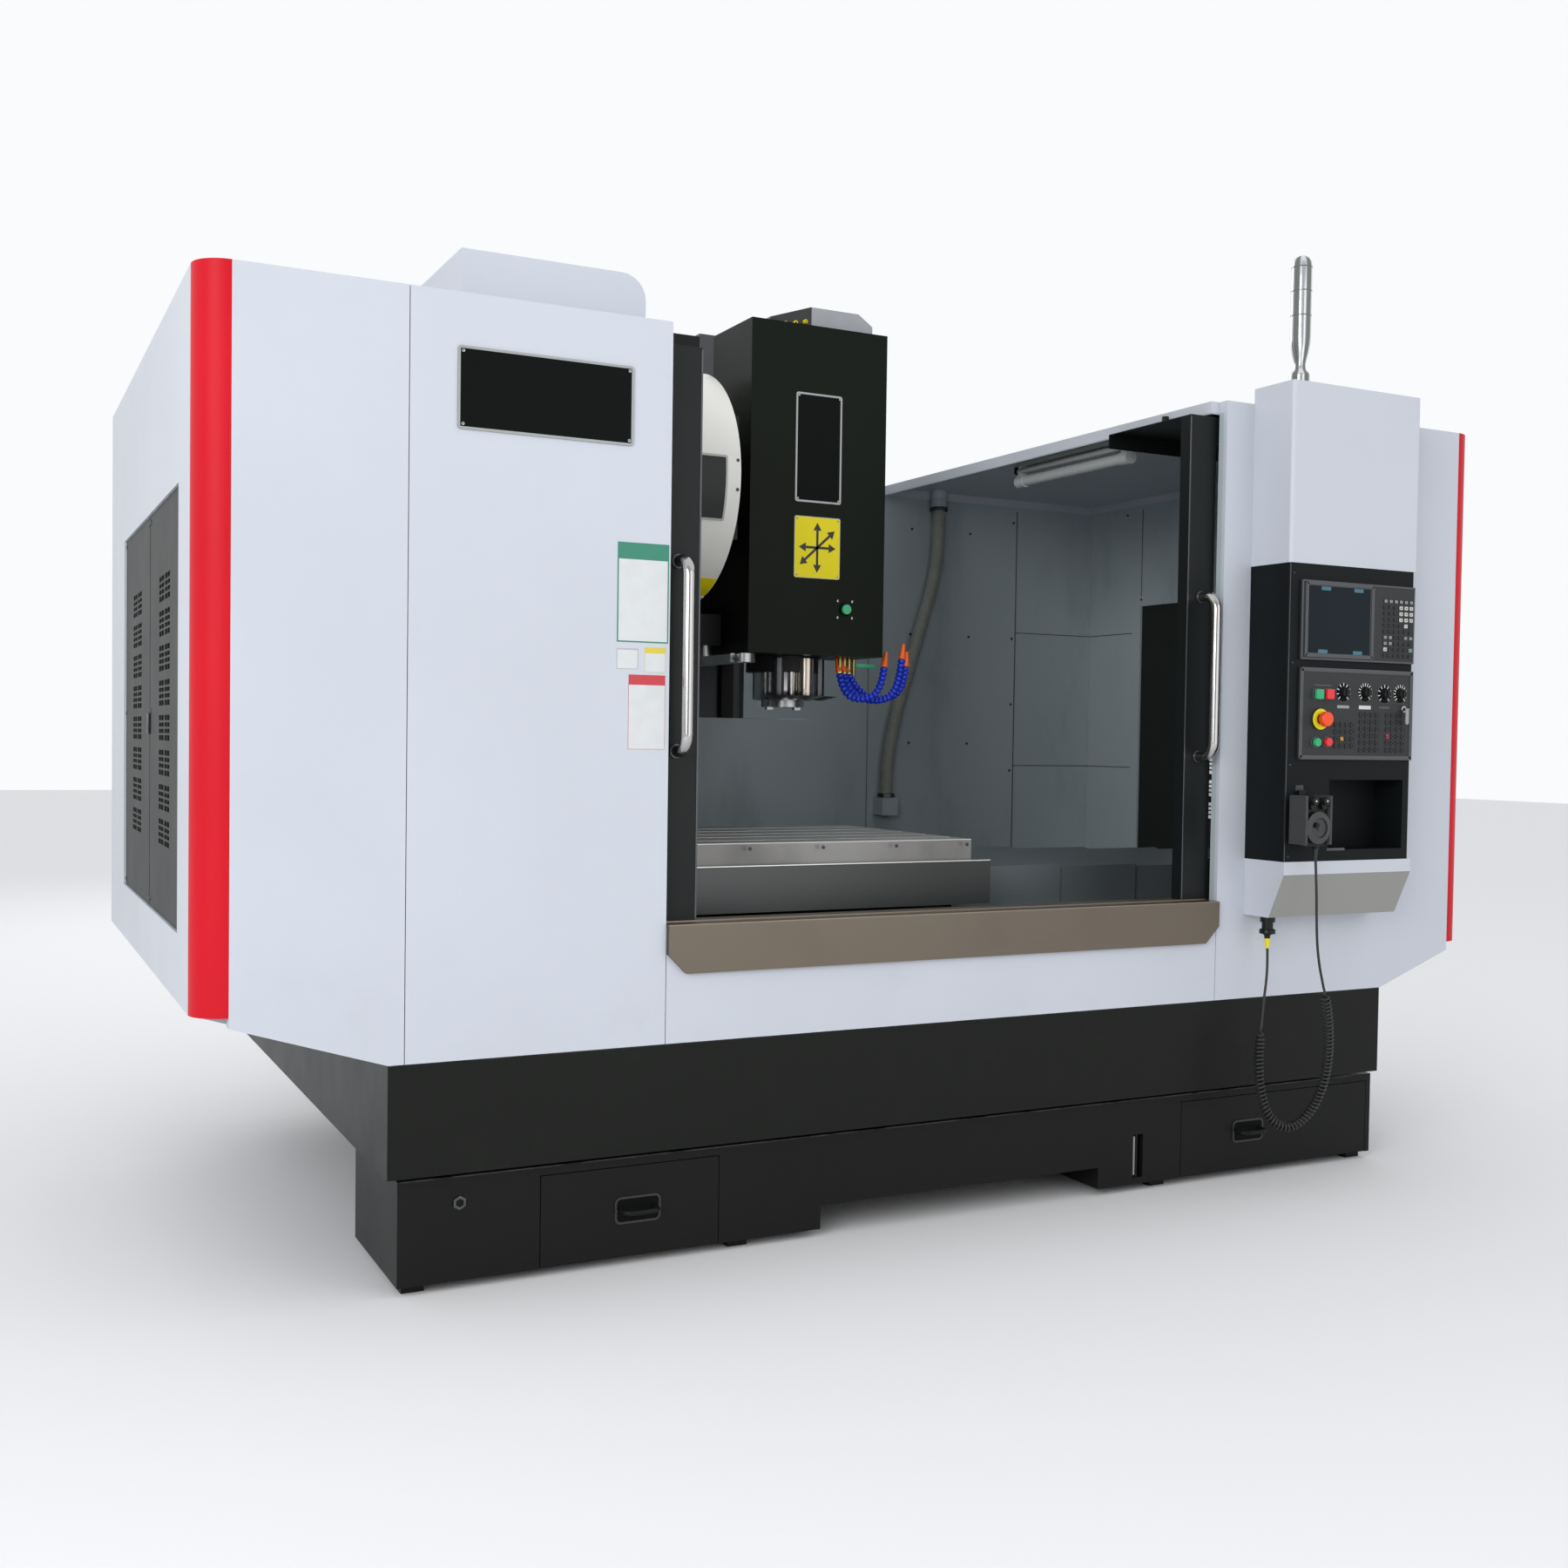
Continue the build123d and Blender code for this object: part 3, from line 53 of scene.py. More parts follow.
# camera, solved from the photograph's vanishing lines
cameraSettings = {
    "place": at(-2215, -3360, 1199),
    "right": Vector((0.88986, -0.45601, 0.01423)),
    "up": Vector((0.0, 0.03120, 0.99951)),
    "lens": 37.06,
    "sensor": 36.0,
}


def addCamera(settings):
    camera = bpy.data.objects.new("camera", bpy.data.cameras.new("camera"))
    bpy.context.scene.collection.objects.link(camera)
    right = settings["right"].normalized()
    up = settings["up"].normalized()
    turn = Matrix((right, up, right.cross(up).normalized())).transposed().to_4x4()
    camera.matrix_world = Matrix.Translation(settings["place"]) @ turn
    camera.data.lens = settings["lens"]
    camera.data.sensor_width = settings["sensor"]
    camera.data.clip_end = 100
    bpy.context.scene.camera = camera


addCamera(cameraSettings)
bpy.ops.object.select_all(action="DESELECT")


def plugInto(target, value):
    # a value or a link into a node's socket
    if isinstance(value, Sock):
        value.tree.links.new(value.socket, target)
    else:
        target.default_value = value


# shader maths: a socket that can be added, multiplied and compared
class Sock:
    def __init__(self, tree, socket):
        self.tree = tree
        self.socket = socket

    def node(self, kind, settings=None, output=0, **sockets):
        # any node: its settings first, then its sockets by name, or by number as in i0
        made = self.tree.nodes.new(kind)
        for name, value in (settings or {}).items():
            setattr(made, name, value)
        for name, value in sockets.items():
            place = int(name[1:]) if name[1:].isdigit() else name.replace("_", " ")
            plugInto(made.inputs[place], value)
        return Sock(self.tree, made.outputs[output])

    def math(self, operation, *values):
        return self.node("ShaderNodeMath", {"operation": operation}, **{f"i{i}": v for i, v in enumerate(values)})

    def __add__(self, other):
        return self.math("ADD", self, other)

    __radd__ = __add__

    def __sub__(self, other):
        return self.math("SUBTRACT", self, other)

    def __rsub__(self, other):
        return self.math("SUBTRACT", other, self)

    def __mul__(self, other):
        return self.math("MULTIPLY", self, other)

    __rmul__ = __mul__

    def __gt__(self, other):
        return self.math("GREATER_THAN", self, other)

    def __lt__(self, other):
        return self.math("LESS_THAN", self, other)

    def __abs__(self):
        return self.math("ABSOLUTE", self)

    def clamp(self):
        return self.node("ShaderNodeClamp", Value=self)

    def parts(self):
        split = self.node("ShaderNodeSeparateXYZ", Vector=self)
        return [Sock(self.tree, socket) for socket in split.socket.node.outputs]

    def smooth(self, low, high):
        # 0 below low, 1 above high
        return self.node("ShaderNodeMapRange", {"interpolation_type": "SMOOTHSTEP"}, Value=self, From_Min=low,
                         From_Max=high)


def newMaterial(name):
    material = bpy.data.materials.new(name)
    material.use_nodes = True
    tree = material.node_tree
    here = Sock(tree, tree.nodes.new("ShaderNodeTexCoord").outputs["Object"])
    return material, tree.nodes["Principled BSDF"], here


def noise(here, scale, detail=3.0, stretch=(1, 1, 1), rough=0.5):
    mapped = here.node("ShaderNodeMapping", Vector=here, Scale=stretch)
    return here.node("ShaderNodeTexNoise", Vector=mapped, Scale=scale, Detail=detail, Roughness=rough)


def rgba(colour):
    return colour if isinstance(colour, Sock) else (*colour, 1.0)


def mixColour(factor, first, second):
    return factor.node("ShaderNodeMix", {"data_type": "RGBA"}, 2, i0=factor, i6=rgba(first), i7=rgba(second))


def shaded(colour, amount):
    return [min(1.0, c * amount) for c in colour]


def drifting(here, colour, dark, light):
    # a faint cloudy drift in tone
    return mixColour(noise(here, 1.7, 4).smooth(0.3, 0.7), shaded(colour, dark), shaded(colour, light))


def feed(shader, **values):
    for name, value in values.items():
        plugInto(shader.inputs[name.replace("_", " ")], value)


def bump(shader, height, strength, distance=0.0004):
    feed(shader, Normal=height.node("ShaderNodeBump", Height=height, Strength=strength, Distance=distance))


def orangePeel(shader, here, strength):
    bump(shader, noise(here, 420, 2), strength)


def facing(here):
    # how far a face looks up
    return here.node("ShaderNodeNewGeometry", None, "True Normal").parts()[2]


def sprayPaint(name, colour, roughness=0.35, peel=0.02, soil=0.0, gloss=0.5, worn=None):
    # sprayed sheet metal: a faint drift in tone, orange peel, dust, and wear above a height
    material, shader, here = newMaterial(name)
    tone = drifting(here, colour, 0.96, 1.04)
    if soil:
        spots = (noise(here, 9, 6, rough=0.65).smooth(0.5, 0.75) * soil).clamp()
        tone = mixColour(spots, tone, shaded(colour, 0.72))
    if worn is not None:
        edge = here.parts()[2].smooth(worn - 0.002, worn + 0.001) * noise(here, 18, 4).smooth(0.35, 0.6)
        tone = mixColour(edge * 0.6, tone, (0.09, 0.09, 0.09))
    feed(shader, Base_Color=tone, Roughness=roughness + 0.1 * (noise(here, 6, 3) - 0.5), Specular_IOR_Level=gloss)
    orangePeel(shader, here, peel * 6)
    return material


def brushed(name, colour, along, roughness=0.32, spread=0.12, stain=0.0, bright=None, metal=1.0):
    # metal with fine lines along one axis, and a painted highlight above a height
    material, shader, here = newMaterial(name)
    stretch = [60.0, 60.0, 60.0]
    stretch["xyz".index(along)] = 1.0
    lines = noise(here, 6, 5, stretch, 0.7)
    cloud = noise(here, 2.2, 4)
    tone = mixColour(lines, shaded(colour, 1 - spread), shaded(colour, 1 + spread))
    if stain:
        tone = mixColour((cloud.smooth(0.5, 0.75) * stain).clamp(), tone, shaded(colour, 0.55))
    # a painted highlight: a lighter colour above the given height
    if bright is not None:
        tone = mixColour(here.parts()[2] > bright, tone, shaded(colour, 1.6))
    feed(shader, Base_Color=tone, Metallic=metal,
         Roughness=roughness + 0.18 * (lines - 0.5) + 0.12 * (cloud - 0.5))
    bump(shader, lines, 0.12)
    return material


def plastic(name, colour, roughness=0.4, grain=0.15, gloss=0.5):
    material, shader, here = newMaterial(name)
    feed(shader, Base_Color=mixColour(noise(here, 30, 3), shaded(colour, 0.92), shaded(colour, 1.08)),
         Roughness=roughness + 0.08 * (noise(here, 40, 2) - 0.5), Specular_IOR_Level=gloss)
    bump(shader, noise(here, 900, 1), grain, 0.0002)
    return material


def lightPlastic(name, colour, glow):
    # a lit button or screen field
    material = plastic(name, colour, 0.3)
    feed(material.node_tree.nodes["Principled BSDF"], Emission_Color=rgba(colour), Emission_Strength=glow)
    return material


def glass(name, tint, alpha):
    material, shader, here = newMaterial(name)
    smear = noise(here, 5, 4).smooth(0.35, 0.8)
    feed(shader, Base_Color=mixColour(smear, tint, shaded(tint, 1.3)), Alpha=alpha + 0.05 * smear,
         Roughness=0.03 + 0.05 * smear)
    material.surface_render_method = "BLENDED"
    return material


# where the paints and the painted shade change, in metres: across from the middle, back from the front sheets and up
# from the floor
roomInside = {"half": 1.785, "front": 0.012, "back": 1.8, "ceiling": 1.9, "top": 2.1, "sheet": 0.012,
              "slopeStart": 1.412, "slopeFoot": 0.504, "slope": 0.312}
skirtTop = 0.9
trayInside = {"left": -1.4095, "right": 1.4585, "front": 0.0055, "back": 1.835, "floor": 0.262,
              "rim": (0.4995, 0.5035)}
shroudBare = {"right": -0.006, "front": 0.8135, "mix": 0.35}
lensAxis = {"x": 1.022, "depth": -0.074, "flutesAndReflections": 5}


def roomPaint(name, colour, insideColour):
    # the enclosure's paint, with painted shade: the faces that look into the machine are painted greyer
    material, shader, here = newMaterial(name)
    x, y, z = here.parts()
    depth = y - frontY
    inside = roomInside
    under = inside["slopeFoot"] + (abs(x) - inside["slopeStart"]) * inside["slope"]
    ceiling = (facing(here) < -0.5) * (z > inside["ceiling"])
    # paintedShade: the faces inside the enclosure, whose greyer colour is painted shade
    paintedShade = (abs(x) < inside["half"]) * (depth > inside["front"]) * (depth < inside["back"])
    paintedShade = paintedShade * (z > under + inside["sheet"]) * (z < inside["top"]) * (1 - ceiling)
    low = (1 - z.smooth(0.55, 1.0)) * noise(here, 5, 6, rough=0.7).smooth(0.5, 0.8)
    outer = mixColour(low * 0.18, drifting(here, colour, 0.975, 1.02), shaded(colour, 0.7))
    splash = noise(here, 3.2, 6, (1, 1, 0.35), 0.65).smooth(0.45, 0.8)
    feed(shader, Base_Color=mixColour(paintedShade, outer, mixColour(splash, insideColour, shaded(insideColour, 0.7))),
         Roughness=0.42 + 0.12 * (noise(here, 6, 3) - 0.5) - 0.08 * paintedShade)
    orangePeel(shader, here, 0.1)
    return material


def boxPaint(name, colour, under):
    # the operator box: its skirt leans inwards, and painted shade darkens its downward faces
    material, shader, here = newMaterial(name)
    # skirtShade: the skirt's downward faces, painted darker as shade
    skirtShade = (facing(here) < -0.1) * (here.parts()[2] < skirtTop)
    feed(shader, Base_Color=mixColour(skirtShade, drifting(here, colour, 0.975, 1.02), under),
         Roughness=0.42 + 0.12 * (noise(here, 6, 3) - 0.5))
    orangePeel(shader, here, 0.1)
    return material


def shroudPaint(name, dark, light):
    # the motor shroud: black in front, a bare grey lid and right end
    material, shader, here = newMaterial(name)
    x, y, z = here.parts()
    lid = x.math("MAXIMUM", x > shroudBare["right"], (y > frontY + shroudBare["front"]) * shroudBare["mix"])
    drift = noise(here, 14, 4)
    feed(shader, Base_Color=mixColour(lid, mixColour(drift, dark, shaded(dark, 1.3)),
                                      mixColour(drift, light, shaded(light, 0.85))),
         Roughness=0.42 + 0.1 * (drift - 0.5))
    orangePeel(shader, here, 0.1)
    return material


def trayPaint(name, dark, insideColour):
    # the chip tray: black outside, and the grey-blue of the wet floor inside
    material, shader, here = newMaterial(name)
    x, y, z = here.parts()
    depth = y - frontY
    inside = (depth > trayInside["front"]) * (z > trayInside["floor"]) * (x > trayInside["left"])
    inside = inside * (x < trayInside["right"]) * (depth < trayInside["back"])
    spots = noise(here, 9, 6, rough=0.65).smooth(0.5, 0.75)
    worn = z.smooth(*trayInside["rim"]) * 0.5
    outer = mixColour(spots * 0.3, dark, shaded(dark, 1.8))
    outer = mixColour(worn * noise(here, 18, 4).smooth(0.35, 0.6), outer, (0.09, 0.09, 0.09))
    inner = mixColour(noise(here, 4, 6, rough=0.7).smooth(0.35, 0.7), insideColour, shaded(insideColour, 0.6))
    feed(shader, Base_Color=mixColour(inside, outer, inner), Specular_IOR_Level=0.15,
         Roughness=0.38 + 0.12 * (noise(here, 7, 3) - 0.5) - 0.12 * inside)
    orangePeel(shader, here, 0.15)
    return material


def flutedLens(name, light, dark):
    # the tower's clear lens: fine flutes round its own axis as a bump, with light and dark stripes painted on as
    # reflections
    material, shader, here = newMaterial(name)
    x, y, z = here.parts()
    angle = x.math("ARCTAN2", y - frontY - lensAxis["depth"], x - lensAxis["x"])
    # the light, metallic stripes and the dark ones are painted reflections; the bump gives the real flutes
    flutesAndReflections = x.math("SINE", angle * lensAxis["flutesAndReflections"]).smooth(-0.5, 0.5)
    feed(shader, Base_Color=mixColour(flutesAndReflections, dark, light), Metallic=0.75 * flutesAndReflections,
         Roughness=0.12 + 0.08 * noise(here, 30, 3))
    bump(shader, flutesAndReflections, 0.25, 0.001)
    return material


def castIron(name, colour, top, level, low, skirt):
    # machined iron: bright on top, duller on its sides, darker on the skirt below the trough, where a painted
    # reflection darkens it towards the right
    material, shader, here = newMaterial(name)
    x, y, z = here.parts()
    bare = z.smooth(level - 0.003, level - 0.001)
    lines = noise(here, 8, 5, (1, 70, 70), 0.7)
    cloud = noise(here, 3, 5)
    side = mixColour(cloud.smooth(0.35, 0.7), colour, shaded(colour, 0.6))
    # the skirt: darker towards the right, a painted reflection
    side = mixColour(z < low, side, mixColour(x.smooth(-0.9, 0.25), skirt, shaded(skirt, 0.35)))
    upper = mixColour(lines, shaded(top, 0.85), shaded(top, 1.15))
    feed(shader, Base_Color=mixColour(bare, side, upper), Metallic=0.45 + 0.5 * bare,
         Roughness=0.4 + 0.15 * (lines - 0.5) + 0.15 * (cloud - 0.5))
    bump(shader, lines, 0.1)
    return material


finishTable = {
    "enclosureWhite": (sprayPaint, (0.53, 0.56, 0.62), 0.42, 0.02, 0.08),
    # boxWhite: the second colour is painted shade for the skirt's downward faces
    "boxWhite": (boxPaint, (0.53, 0.56, 0.62), (0.27, 0.27, 0.255)),
    # roomWhite: the second colour is painted shade for the faces inside the enclosure
    "roomWhite": (roomPaint, (0.53, 0.56, 0.62), (0.41, 0.475, 0.50)),
    "stripRed": (sprayPaint, (0.55, 0.008, 0.018), 0.4, 0.01, 0.0, 0.12),
    # sillSteel: lighter above its top edge's height, a painted highlight
    "sillSteel": (brushed, (0.175, 0.148, 0.118), "x", 0.36, 0.1, 0.25, 0.7735),
    "tankBlack": (sprayPaint, (0.0075, 0.008, 0.007), 0.4, 0.03, 0.3, 0.15, 0.246),
    "trayBlack": (trayPaint, (0.0075, 0.0085, 0.007), (0.24, 0.29, 0.32)),
    "castDark": (sprayPaint, (0.011, 0.012, 0.011), 0.5, 0.08, 0.3, 0.2),
    "castGrey": (sprayPaint, (0.20, 0.225, 0.26), 0.5, 0.08, 0.3),
    "columnPaint": (sprayPaint, (0.055, 0.06, 0.065), 0.45, 0.05, 0.3),
    "groundSteel": (brushed, (0.38, 0.38, 0.38), "x", 0.3, 0.1, 0.1),
    # tableIron: the last colour is the skirt's, which a painted reflection darkens towards the right
    "tableIron": (castIron, (0.27, 0.265, 0.255), (0.62, 0.61, 0.59), 0.935, 0.876, (0.13, 0.135, 0.135)),
    "coverSteel": (brushed, (0.12, 0.14, 0.15), "x", 0.45, 0.1, 0.3, None, 0.3),
    "doorBlack": (sprayPaint, (0.008, 0.010, 0.010), 0.36, 0.03, 0.15, 0.2),
    "handleSteel": (brushed, (0.50, 0.49, 0.48), "z", 0.14, 0.05),
    "consoleBlack": (sprayPaint, (0.0055, 0.0072, 0.008), 0.5, 0.1, 0.1, 0.12),
    "panelGrey": (plastic, (0.026, 0.028, 0.030), 0.5, 0.15, 0.3),
    "bezelGrey": (plastic, (0.075, 0.078, 0.085), 0.42, 0.15, 0.3),
    "screenDark": (plastic, (0.004, 0.010, 0.014), 0.2, 0.0, 0.15),
    "screenBlue": (lightPlastic, (0.03, 0.10, 0.14), 0.4),
    "keyWhite": (plastic, (0.60, 0.60, 0.57)),
    "keyLight": (plastic, (0.28, 0.29, 0.29)),
    "keyDark": (plastic, (0.018, 0.019, 0.021)),
    "legendGrey": (plastic, (0.16, 0.165, 0.165), 0.45),
    "keyGreen": (plastic, (0.20, 0.32, 0.25)),
    "keyOrange": (plastic, (0.25, 0.11, 0.01)),
    "keyYellow": (lightPlastic, (0.75, 0.42, 0.03), 0.3),
    "keyRed": (plastic, (0.35, 0.02, 0.05)),
    "knobBlack": (plastic, (0.007, 0.007, 0.007), 0.35, 0.15, 0.25),
    "buttonRed": (lightPlastic, (0.60, 0.02, 0.025), 0.25),
    "buttonGreen": (lightPlastic, (0.02, 0.30, 0.12), 0.25),
    "buttonOrange": (plastic, (0.85, 0.07, 0.01), 0.3),
    "drumWhite": (sprayPaint, (0.80, 0.79, 0.75), 0.3, 0.01, 0.1),
    "headBlack": (sprayPaint, (0.006, 0.0088, 0.0056), 0.36, 0.08, 0.1, 0.08),
    "shroudPaint": (shroudPaint, (0.012, 0.013, 0.012), (0.34, 0.35, 0.38)),
    "brassPipe": (brushed, (0.45, 0.36, 0.13), "z", 0.3),
    "hoseBlue": (plastic, (0.012, 0.04, 0.55), 0.22),
    "nozzleOrange": (plastic, (0.90, 0.14, 0.01), 0.32),
    # lensClear: its light and dark colours are the stripes of a painted reflection
    "lensClear": (flutedLens, (0.70, 0.71, 0.73), (0.13, 0.14, 0.13)),
    "lensSmoke": (plastic, (0.12, 0.125, 0.125), 0.12, 0.05),
    "towerGrey": (plastic, (0.30, 0.31, 0.31), 0.25),
    "cordBlack": (plastic, (0.012, 0.012, 0.012), 0.5),
    "conduitGrey": (plastic, (0.29, 0.30, 0.265), 0.5),
    "lampWhite": (plastic, (0.50, 0.52, 0.52), 0.25),
    "doorGlass": (glass, (0.06, 0.08, 0.085), 0.28),
    "louvreDark": (sprayPaint, (0.019, 0.020, 0.019), 0.5, 0.03, 0.2, 0.2),
    "chromeRim": (brushed, (0.46, 0.46, 0.45), "z", 0.16, 0.06),
    "noseBeige": (brushed, (0.50, 0.45, 0.38), "z", 0.22, 0.15),
    "darkSteel": (brushed, (0.10, 0.105, 0.11), "z", 0.35, 0.1),
    "holeBlack": (plastic, (0.004, 0.004, 0.004), 0.7),
    "plateBlack": (sprayPaint, (0.004, 0.0045, 0.0045), 0.45, 0.01, 0.05, 0.06),
    "rimDull": (brushed, (0.33, 0.34, 0.34), "x", 0.4, 0.1, 0.0, None, 0.6),
    "signYellow": (sprayPaint, (0.78, 0.66, 0.008), 0.35, 0.01, 0.05, 0.2),
    "signBlack": (plastic, (0.008, 0.008, 0.008)),
    "signWhite": (plastic, (0.66, 0.66, 0.64)),
    "windowDark": (plastic, (0.035, 0.038, 0.035), 0.25, 0.02, 0.12),
    "noticeGreen": (plastic, (0.02, 0.20, 0.13), 0.35, 0.02),
    "noticeWhite": (plastic, (0.60, 0.62, 0.63), 0.35, 0.02),
    "noticeYellow": (plastic, (0.62, 0.52, 0.05), 0.35, 0.02),
    "noticeGrey": (plastic, (0.40, 0.41, 0.42), 0.35, 0.02),
    "noticeRed": (plastic, (0.50, 0.03, 0.04), 0.35, 0.02),
    "pendantGrey": (plastic, (0.05, 0.052, 0.055), 0.45, 0.15, 0.25),
    "edgeMetal": (brushed, (0.10, 0.10, 0.11), "z", 0.3, 0.05),
    "edgeBright": (brushed, (0.55, 0.55, 0.53), "x", 0.25, 0.05),
    "seamGrey": (plastic, (0.09, 0.105, 0.11), 0.5),
    "pullGrey": (sprayPaint, (0.022, 0.022, 0.024), 0.35, 0.02, 0.1),
    "gaugeLight": (plastic, (0.26, 0.27, 0.25), 0.3),
}
finishes = {}
for finishName, (make, *values) in finishTable.items():
    lowName = "".join("_" + letter.lower() if letter.isupper() else letter for letter in finishName)
    finishes[finishName] = make(lowName, *values)

nodeFinish = {
    "castDark": "base_casting axis_drives magazine_frame head_casting",
    "columnPaint": "column",
    "roomWhite": "front_panels enclosure_walls roof_panels",
    "sillSteel": "sill_plate",
    "stripRed": "corner_strips",
    "louvreDark": "side_louvres",
    "trayBlack": "chip_tray",
    "tankBlack": "coolant_tank drawer_left drawer_right",
    "boxWhite": "operator_box",
    "consoleBlack": "console_housing",
    "panelGrey": "control_panels",
    "towerGrey": "signal_tower",
    "lampWhite": "work_lamp",
    "conduitGrey": "conduit",
    "enclosureWhite": "electrical_cabinet",
    "drumWhite": "magazine_cover",
    "knobBlack": "pendant_body pendant_plug handwheel_dial mode_knob feed_knob rapid_knob spindle_knob",
    "cordBlack": "pendant_lead curly_cord plug_lead",
    "groundSteel": "magazine_disc change_arm spindle",
    "castGrey": "saddle",
    "coverSteel": "saddle_covers y_cover_2 y_cover_3 x_cover_1 x_cover_2 x_cover_3 x_cover_4",
    "tableIron": "table",
    "headBlack": "head_cover",
    "shroudPaint": "spindle_motor",
    "hoseBlue": "coolant_nozzles",
    "buttonGreen": "tool_release_button cycle_start_button power_on_button",
    "buttonRed": "feed_hold_button power_off_button",
    "buttonOrange": "e_stop_button",
    "doorBlack": "door_left door_right",
    "doorGlass": "door_left_glass door_right_glass",
    "handleSteel": "door_left_handle door_right_handle",
}
for finishName, nodeNames in nodeFinish.items():
    for nodeName in nodeNames.split():
        nodes[nodeName].data.materials.clear()
        nodes[nodeName].data.materials.append(finishes[finishName])
print("finishes set")


# studio: a plain pale floor, soft lights and a dim room behind the camera
studio = {
    "floor": (0.80, 0.80, 0.81), "floorSize": 60, "floorRoughness": 0.9, "world": 0.98,
    "room": (0.35, 0.36, 0.37), "sky": (0.97, 0.985, 1.0), "ahead": (0.456, 0.8895), "dim": (-0.95, -0.35),
}
lights = {
    "key": {"place": (-7.0, -6.0, 3.8), "aim": (0.4, -0.9, 1.1), "size": 4.0, "power": 285},
    "fill": {"place": (2.0, -8.5, 2.6), "aim": (0.5, -0.5, 1.0), "size": 5.0, "power": 85},
    "near": {"place": (-3.6, -5.6, 2.2), "aim": (1.6, -1.3, 1.3), "size": 2.0, "power": 36},
    "back": {"place": (0.0, 6.5, 5.0), "aim": (0, 1.0, 1.2), "size": 4.0, "power": 80},
}


def makeStudio(settings):
    bpy.context.scene.view_settings.view_transform = "Standard"
    bpy.ops.mesh.primitive_plane_add(size=settings["floorSize"], location=(0, 0, 0))
    floor = bpy.context.active_object
    floor.name = "studioFloor"
    material, shader, here = newMaterial("floor")
    feed(shader, Base_Color=rgba(settings["floor"]), Roughness=settings["floorRoughness"])
    floor.data.materials.append(material)
    world = bpy.data.worlds.new("world")
    world.use_nodes = True
    tree = world.node_tree
    sky = tree.nodes["Background"]
    sky.inputs[1].default_value = settings["world"]
    east, north, height = Sock(tree, tree.nodes.new("ShaderNodeTexCoord").outputs["Generated"]).parts()
    ahead = (east * settings["ahead"][0] + north * settings["ahead"][1]).smooth(*settings["dim"])
    plugInto(sky.inputs[0], mixColour(ahead, settings["room"], settings["sky"]))
    bpy.context.scene.world = world


def addLight(name, settings):
    lamp = bpy.data.lights.new(name, "AREA")
    lamp.size = settings["size"]
    lamp.energy = settings["power"]
    holder = bpy.data.objects.new(name, lamp)
    bpy.context.scene.collection.objects.link(holder)
    holder.location = settings["place"]
    aim = Vector(settings["aim"]) - Vector(settings["place"])
    holder.rotation_euler = aim.to_track_quat("-Z", "Y").to_euler()


makeStudio(studio)
for lightName, lightSettings in lights.items():
    addLight(lightName, lightSettings)
print("studio ready")


# cords: lines read from smooth splines through the routes' points
def splineLine(points):
    curve = bpy.data.curves.new("route", "CURVE")
    curve.dimensions = "3D"
    spline = curve.splines.new("NURBS")
    spline.points.add(len(points) - 1)
    for slot, point in zip(spline.points, points):
        slot.co = (*point, 1)
    spline.order_u = 3
    spline.use_endpoint_u = True
    spline.resolution_u = 24
    holder = bpy.data.objects.new("route", curve)
    bpy.context.scene.collection.objects.link(holder)
    bpy.context.view_layer.update()
    mesh = bpy.data.meshes.new_from_object(holder)
    line = [vertex.co.copy() for vertex in mesh.vertices]
    bpy.data.objects.remove(holder)
    bpy.data.meshes.remove(mesh)
    return line


def evenLine(line, step):
    # the same line with a point every step
    gathered = [0.0]
    for a, b in zip(line, line[1:]):
        gathered.append(gathered[-1] + (b - a).length)
    count = max(2, round(gathered[-1] / step))
    out = []
    index = 0
    for i in range(count + 1):
        want = gathered[-1] * i / count
        while index < len(line) - 2 and gathered[index + 1] < want:
            index += 1
        span = gathered[index + 1] - gathered[index]
        share = (want - gathered[index]) / span if span else 0
        out.append(line[index].lerp(line[index + 1], min(1, share)))
    return out


def frames(line):
    # side and up at each point, carried along without twist
    side = (line[1] - line[0]).normalized().cross(Vector((0.3, 1, 0.2))).normalized()
    out = []
    for i in range(len(line)):
        tangent = (line[min(len(line) - 1, i + 1)] - line[max(0, i - 1)]).normalized()
        side = (side - tangent * side.dot(tangent)).normalized()
        out.append((side, tangent.cross(side)))
    return out


def tubeMesh(name, line, radii, sides, material):
    # a closed tube whose radius may change along the line
    mesh = bmesh.new()
    rings = []
    for point, radius, (side, up) in zip(line, radii, frames(line)):
        rings.append([mesh.verts.new(point + radius * (cos(2 * pi * k / sides) * side + sin(2 * pi * k / sides) * up))
                      for k in range(sides)])
    for a, b in zip(rings, rings[1:]):
        for k in range(sides):
            mesh.faces.new((a[k], a[(k + 1) % sides], b[(k + 1) % sides], b[k]))
    mesh.faces.new(list(reversed(rings[0])))
    mesh.faces.new(rings[-1])
    bmesh.ops.recalc_face_normals(mesh, faces=mesh.faces)
    data = bpy.data.meshes.new(name)
    mesh.to_mesh(data)
    mesh.free()
    for face in data.polygons:
        face.use_smooth = True
    data.materials.append(material)
    made = bpy.data.objects.new(name, data)
    bpy.context.scene.collection.objects.link(made)
    return made


def declareCord(cord, path, diameter, stiffness, *replaced):
    length = sum((b - a).length for a, b in zip(path, path[1:]))
    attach(cord, "machine")
    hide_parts(*replaced)


